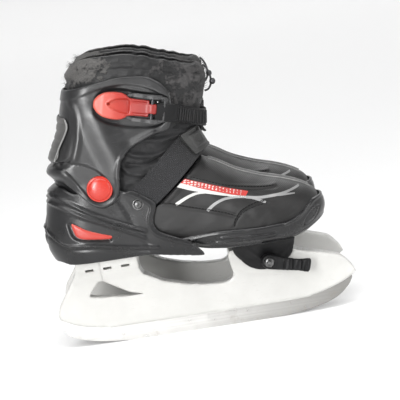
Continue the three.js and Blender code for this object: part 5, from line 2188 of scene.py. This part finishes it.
        def stuffed(obj: bpy.types.Object, side: Side) -> None:
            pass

        place(bm, "collar_pad", "cuff_set", COLLAR, "collar_fabric", ["collar"], sharp=80, shape=stuffed)
        self.fuzz(surface)

    def fuzz(self, surface: Surface) -> None:
        """Loose fibres where the collar's skin is torn.

        Args:
            surface: the collar's skin.
        """
        rng = np.random.default_rng(7)
        parts = []
        for low, high, rows, count in ((2.5, 3.8, (0.34, 0.56), 110), (-0.55, 0.75, (0.2, 0.5), 120)):
            for _ in range(count):
                u, p = rng.uniform(low, high), rng.uniform(*rows)
                root = surface(np.array([u]), np.array([p]))[0]
                away = root - np.array([-38.0, 0.0, 262.0])
                away = away / np.linalg.norm(away) + rng.normal(0, 0.55, 3)
                away /= np.linalg.norm(away)
                size = rng.uniform(1.6, 4.6)
                curl = rng.normal(0, 0.32, 3)
                path = [root + away * size * t + curl * size * t * t for t in (0.0, 0.4, 0.75, 1.0)]
                parts.append(tube(path, 0.13, 3, 0.35))
        place(join(*parts), "collar_fibres", "cuff_set", FIBRE, "collar_fabric")

    def build_cord(self) -> None:
        """The short loop of cord at the front, with its bead."""
        route = rounded(self.cord, 1.0)
        path = [(x, 1.6 * math.sin(k / len(route) * math.pi), z) for k, (x, z) in enumerate(route)]
        place(tube(path, 1.05, 10), "pull_cord", "cuff_set", CORD, "lace_cord", ["lace_loop"])
        bead = turned(
            ((0, 3.2), (1.4, 3.0), (2.6, 2.0), (3.1, 0.4), (2.9, -1.4), (1.8, -2.7), (1.1, -3.0), (0, -3.0)), 24
        )
        bmesh.ops.translate(bead, verts=bead.verts[:], vec=(37.4, 0.8, 246.6))
        place(bead, "pull_bead", "cuff_set", METAL, "dark_metal", ["lace_bead"], sharp=60)

    def build(self) -> None:
        """Builds the liner and dresses it; the footbed keeps its own shape."""
        self.build_sleeve()
        self.build_collar()
        self.build_cord()


def dress_frame_nodes() -> None:
    """Gives the frame's own hidden pieces their finishes."""
    for side in Side:
        for name, finish in (("insole", FOAM), ("pivot_rivet_outer", METAL), ("pivot_rivet_inner", METAL)):
            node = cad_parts[f"{side.value[0]}_{name}"]
            for slot in node.material_slots:
                slot.material = finish.material()


# ---- studio


@dataclass
class StudioSetup:
    """Camera, lights and floor."""

    target: Triple = (0.00723, -0.054, 0.1309)
    distance: float = 1.5
    azimuth: float = -1.5
    elevation: float = 9.1
    roll: float = 8.8
    lens: float = 135.0

    def camera(self) -> None:
        """The camera, turned about its own axis so that the skates lie tilted."""
        a, e, r = (math.radians(v) for v in (self.azimuth, self.elevation, self.roll))
        back = Vector((math.sin(a) * math.cos(e), -math.cos(a) * math.cos(e), math.sin(e)))
        right = Vector((math.cos(a), math.sin(a), 0))
        up = back.cross(right)
        level = Matrix(((math.cos(r), 0, -math.sin(r)), (0, 1, 0), (math.sin(r), 0, math.cos(r)))).transposed()
        back, right, up = level @ back, level @ right, level @ up
        data = bpy.data.cameras.new("camera")
        data.lens, data.sensor_width, data.clip_start, data.clip_end = self.lens, 36.0, 0.05, 60.0
        obj = bpy.data.objects.new("camera", data)
        spot = Vector(self.target) + back * self.distance
        obj.matrix_world = Matrix.Translation(spot) @ Matrix((right, up, back)).transposed().to_4x4()
        bpy.context.scene.collection.objects.link(obj)
        bpy.context.scene.camera = obj

    def lamp(self, name: str, place_at: Triple, size: tuple[float, float], power: float) -> None:
        """A soft rectangular light that faces the skates.

        Args:
            name: its name.
            place_at: where it stands.
            size: width and height.
            power: its power in watts.
        """
        data = bpy.data.lights.new(name, "AREA")
        data.shape, data.size, data.size_y, data.energy = "RECTANGLE", *size, power
        obj = bpy.data.objects.new(name, data)
        aim = Vector((0.0, 0.0, 0.12)) - Vector(place_at)
        obj.matrix_world = Matrix.Translation(place_at) @ aim.to_track_quat("-Z", "Y").to_matrix().to_4x4()
        obj.visible_camera = False
        bpy.context.scene.collection.objects.link(obj)

    def sun(self, name: str, toward: Triple, strength: float, spread: float) -> None:
        """Broad even light from far away.

        Args:
            name: its name.
            toward: direction from the skates to it.
            strength: its strength.
            spread: how soft it is, in degrees.
        """
        data = bpy.data.lights.new(name, "SUN")
        data.energy, data.angle = strength, math.radians(spread)
        obj = bpy.data.objects.new(name, data)
        obj.matrix_world = (-Vector(toward)).to_track_quat("-Z", "Y").to_matrix().to_4x4()
        bpy.context.scene.collection.objects.link(obj)

    def build(self) -> None:
        """Sets up the floor, the lights and the pale surroundings."""
        profile = ((0.0, 0.0), (6.0, 0.0), (8.0, 0.0), (9.5, 0.3), (10.6, 1.1), (11.2, 2.4), (11.4, 6.0))
        bm = turned(profile, 72)
        for face in bm.faces:
            face.smooth = True
        mesh = bpy.data.meshes.new("floor")
        bm.to_mesh(mesh)
        bm.free()
        mesh.materials.append(Studio("studio floor").material())
        floor = bpy.data.objects.new("floor", mesh)
        bpy.context.scene.collection.objects.link(floor)
        floor.visible_shadow = False
        world = bpy.data.worlds.new("studio")
        bpy.context.scene.world = world
        world.use_nodes = True
        sky = world.node_tree.nodes["Background"].inputs
        sky["Color"].default_value, sky["Strength"].default_value = (1, 1, 1, 1), 0.36
        self.sun("main sun", (-0.45, -0.6, 1.0), 0.6, 40.0)
        self.sun("fill sun", (0.7, -0.5, 0.8), 0.4, 50.0)
        self.sun("back sun", (0.1, 0.9, 1.0), 1.05, 40.0)
        self.lamp("key", (-0.5, -0.95, 0.55), (0.22, 0.6), 4.0)
        self.lamp("low", (-0.44, -1.2, 0.3), (0.13, 0.5), 8.5)
        self.lamp("strip", (0.05, -0.5, 0.95), (1.1, 0.14), 5.0)
        self.lamp("side", (0.95, -0.7, 0.3), (0.16, 0.5), 2.6)
        bpy.context.scene.view_settings.view_transform = "Standard"


def main() -> None:
    """Builds the studio and both skates, one sub-assembly after another."""
    logging.basicConfig(level=logging.INFO, format="%(message)s")
    studio = StudioSetup()
    studio.camera()
    studio.build()
    for part in (Blade(), RearShell(), Cuff(), ToeSection(), Straps(), Buckle(), Liner()):
        LOG.info("building %s", type(part).__name__)
        part.build()
    dress_frame_nodes()
    bpy.context.view_layer.update()


if __name__ == "__main__":
    main()
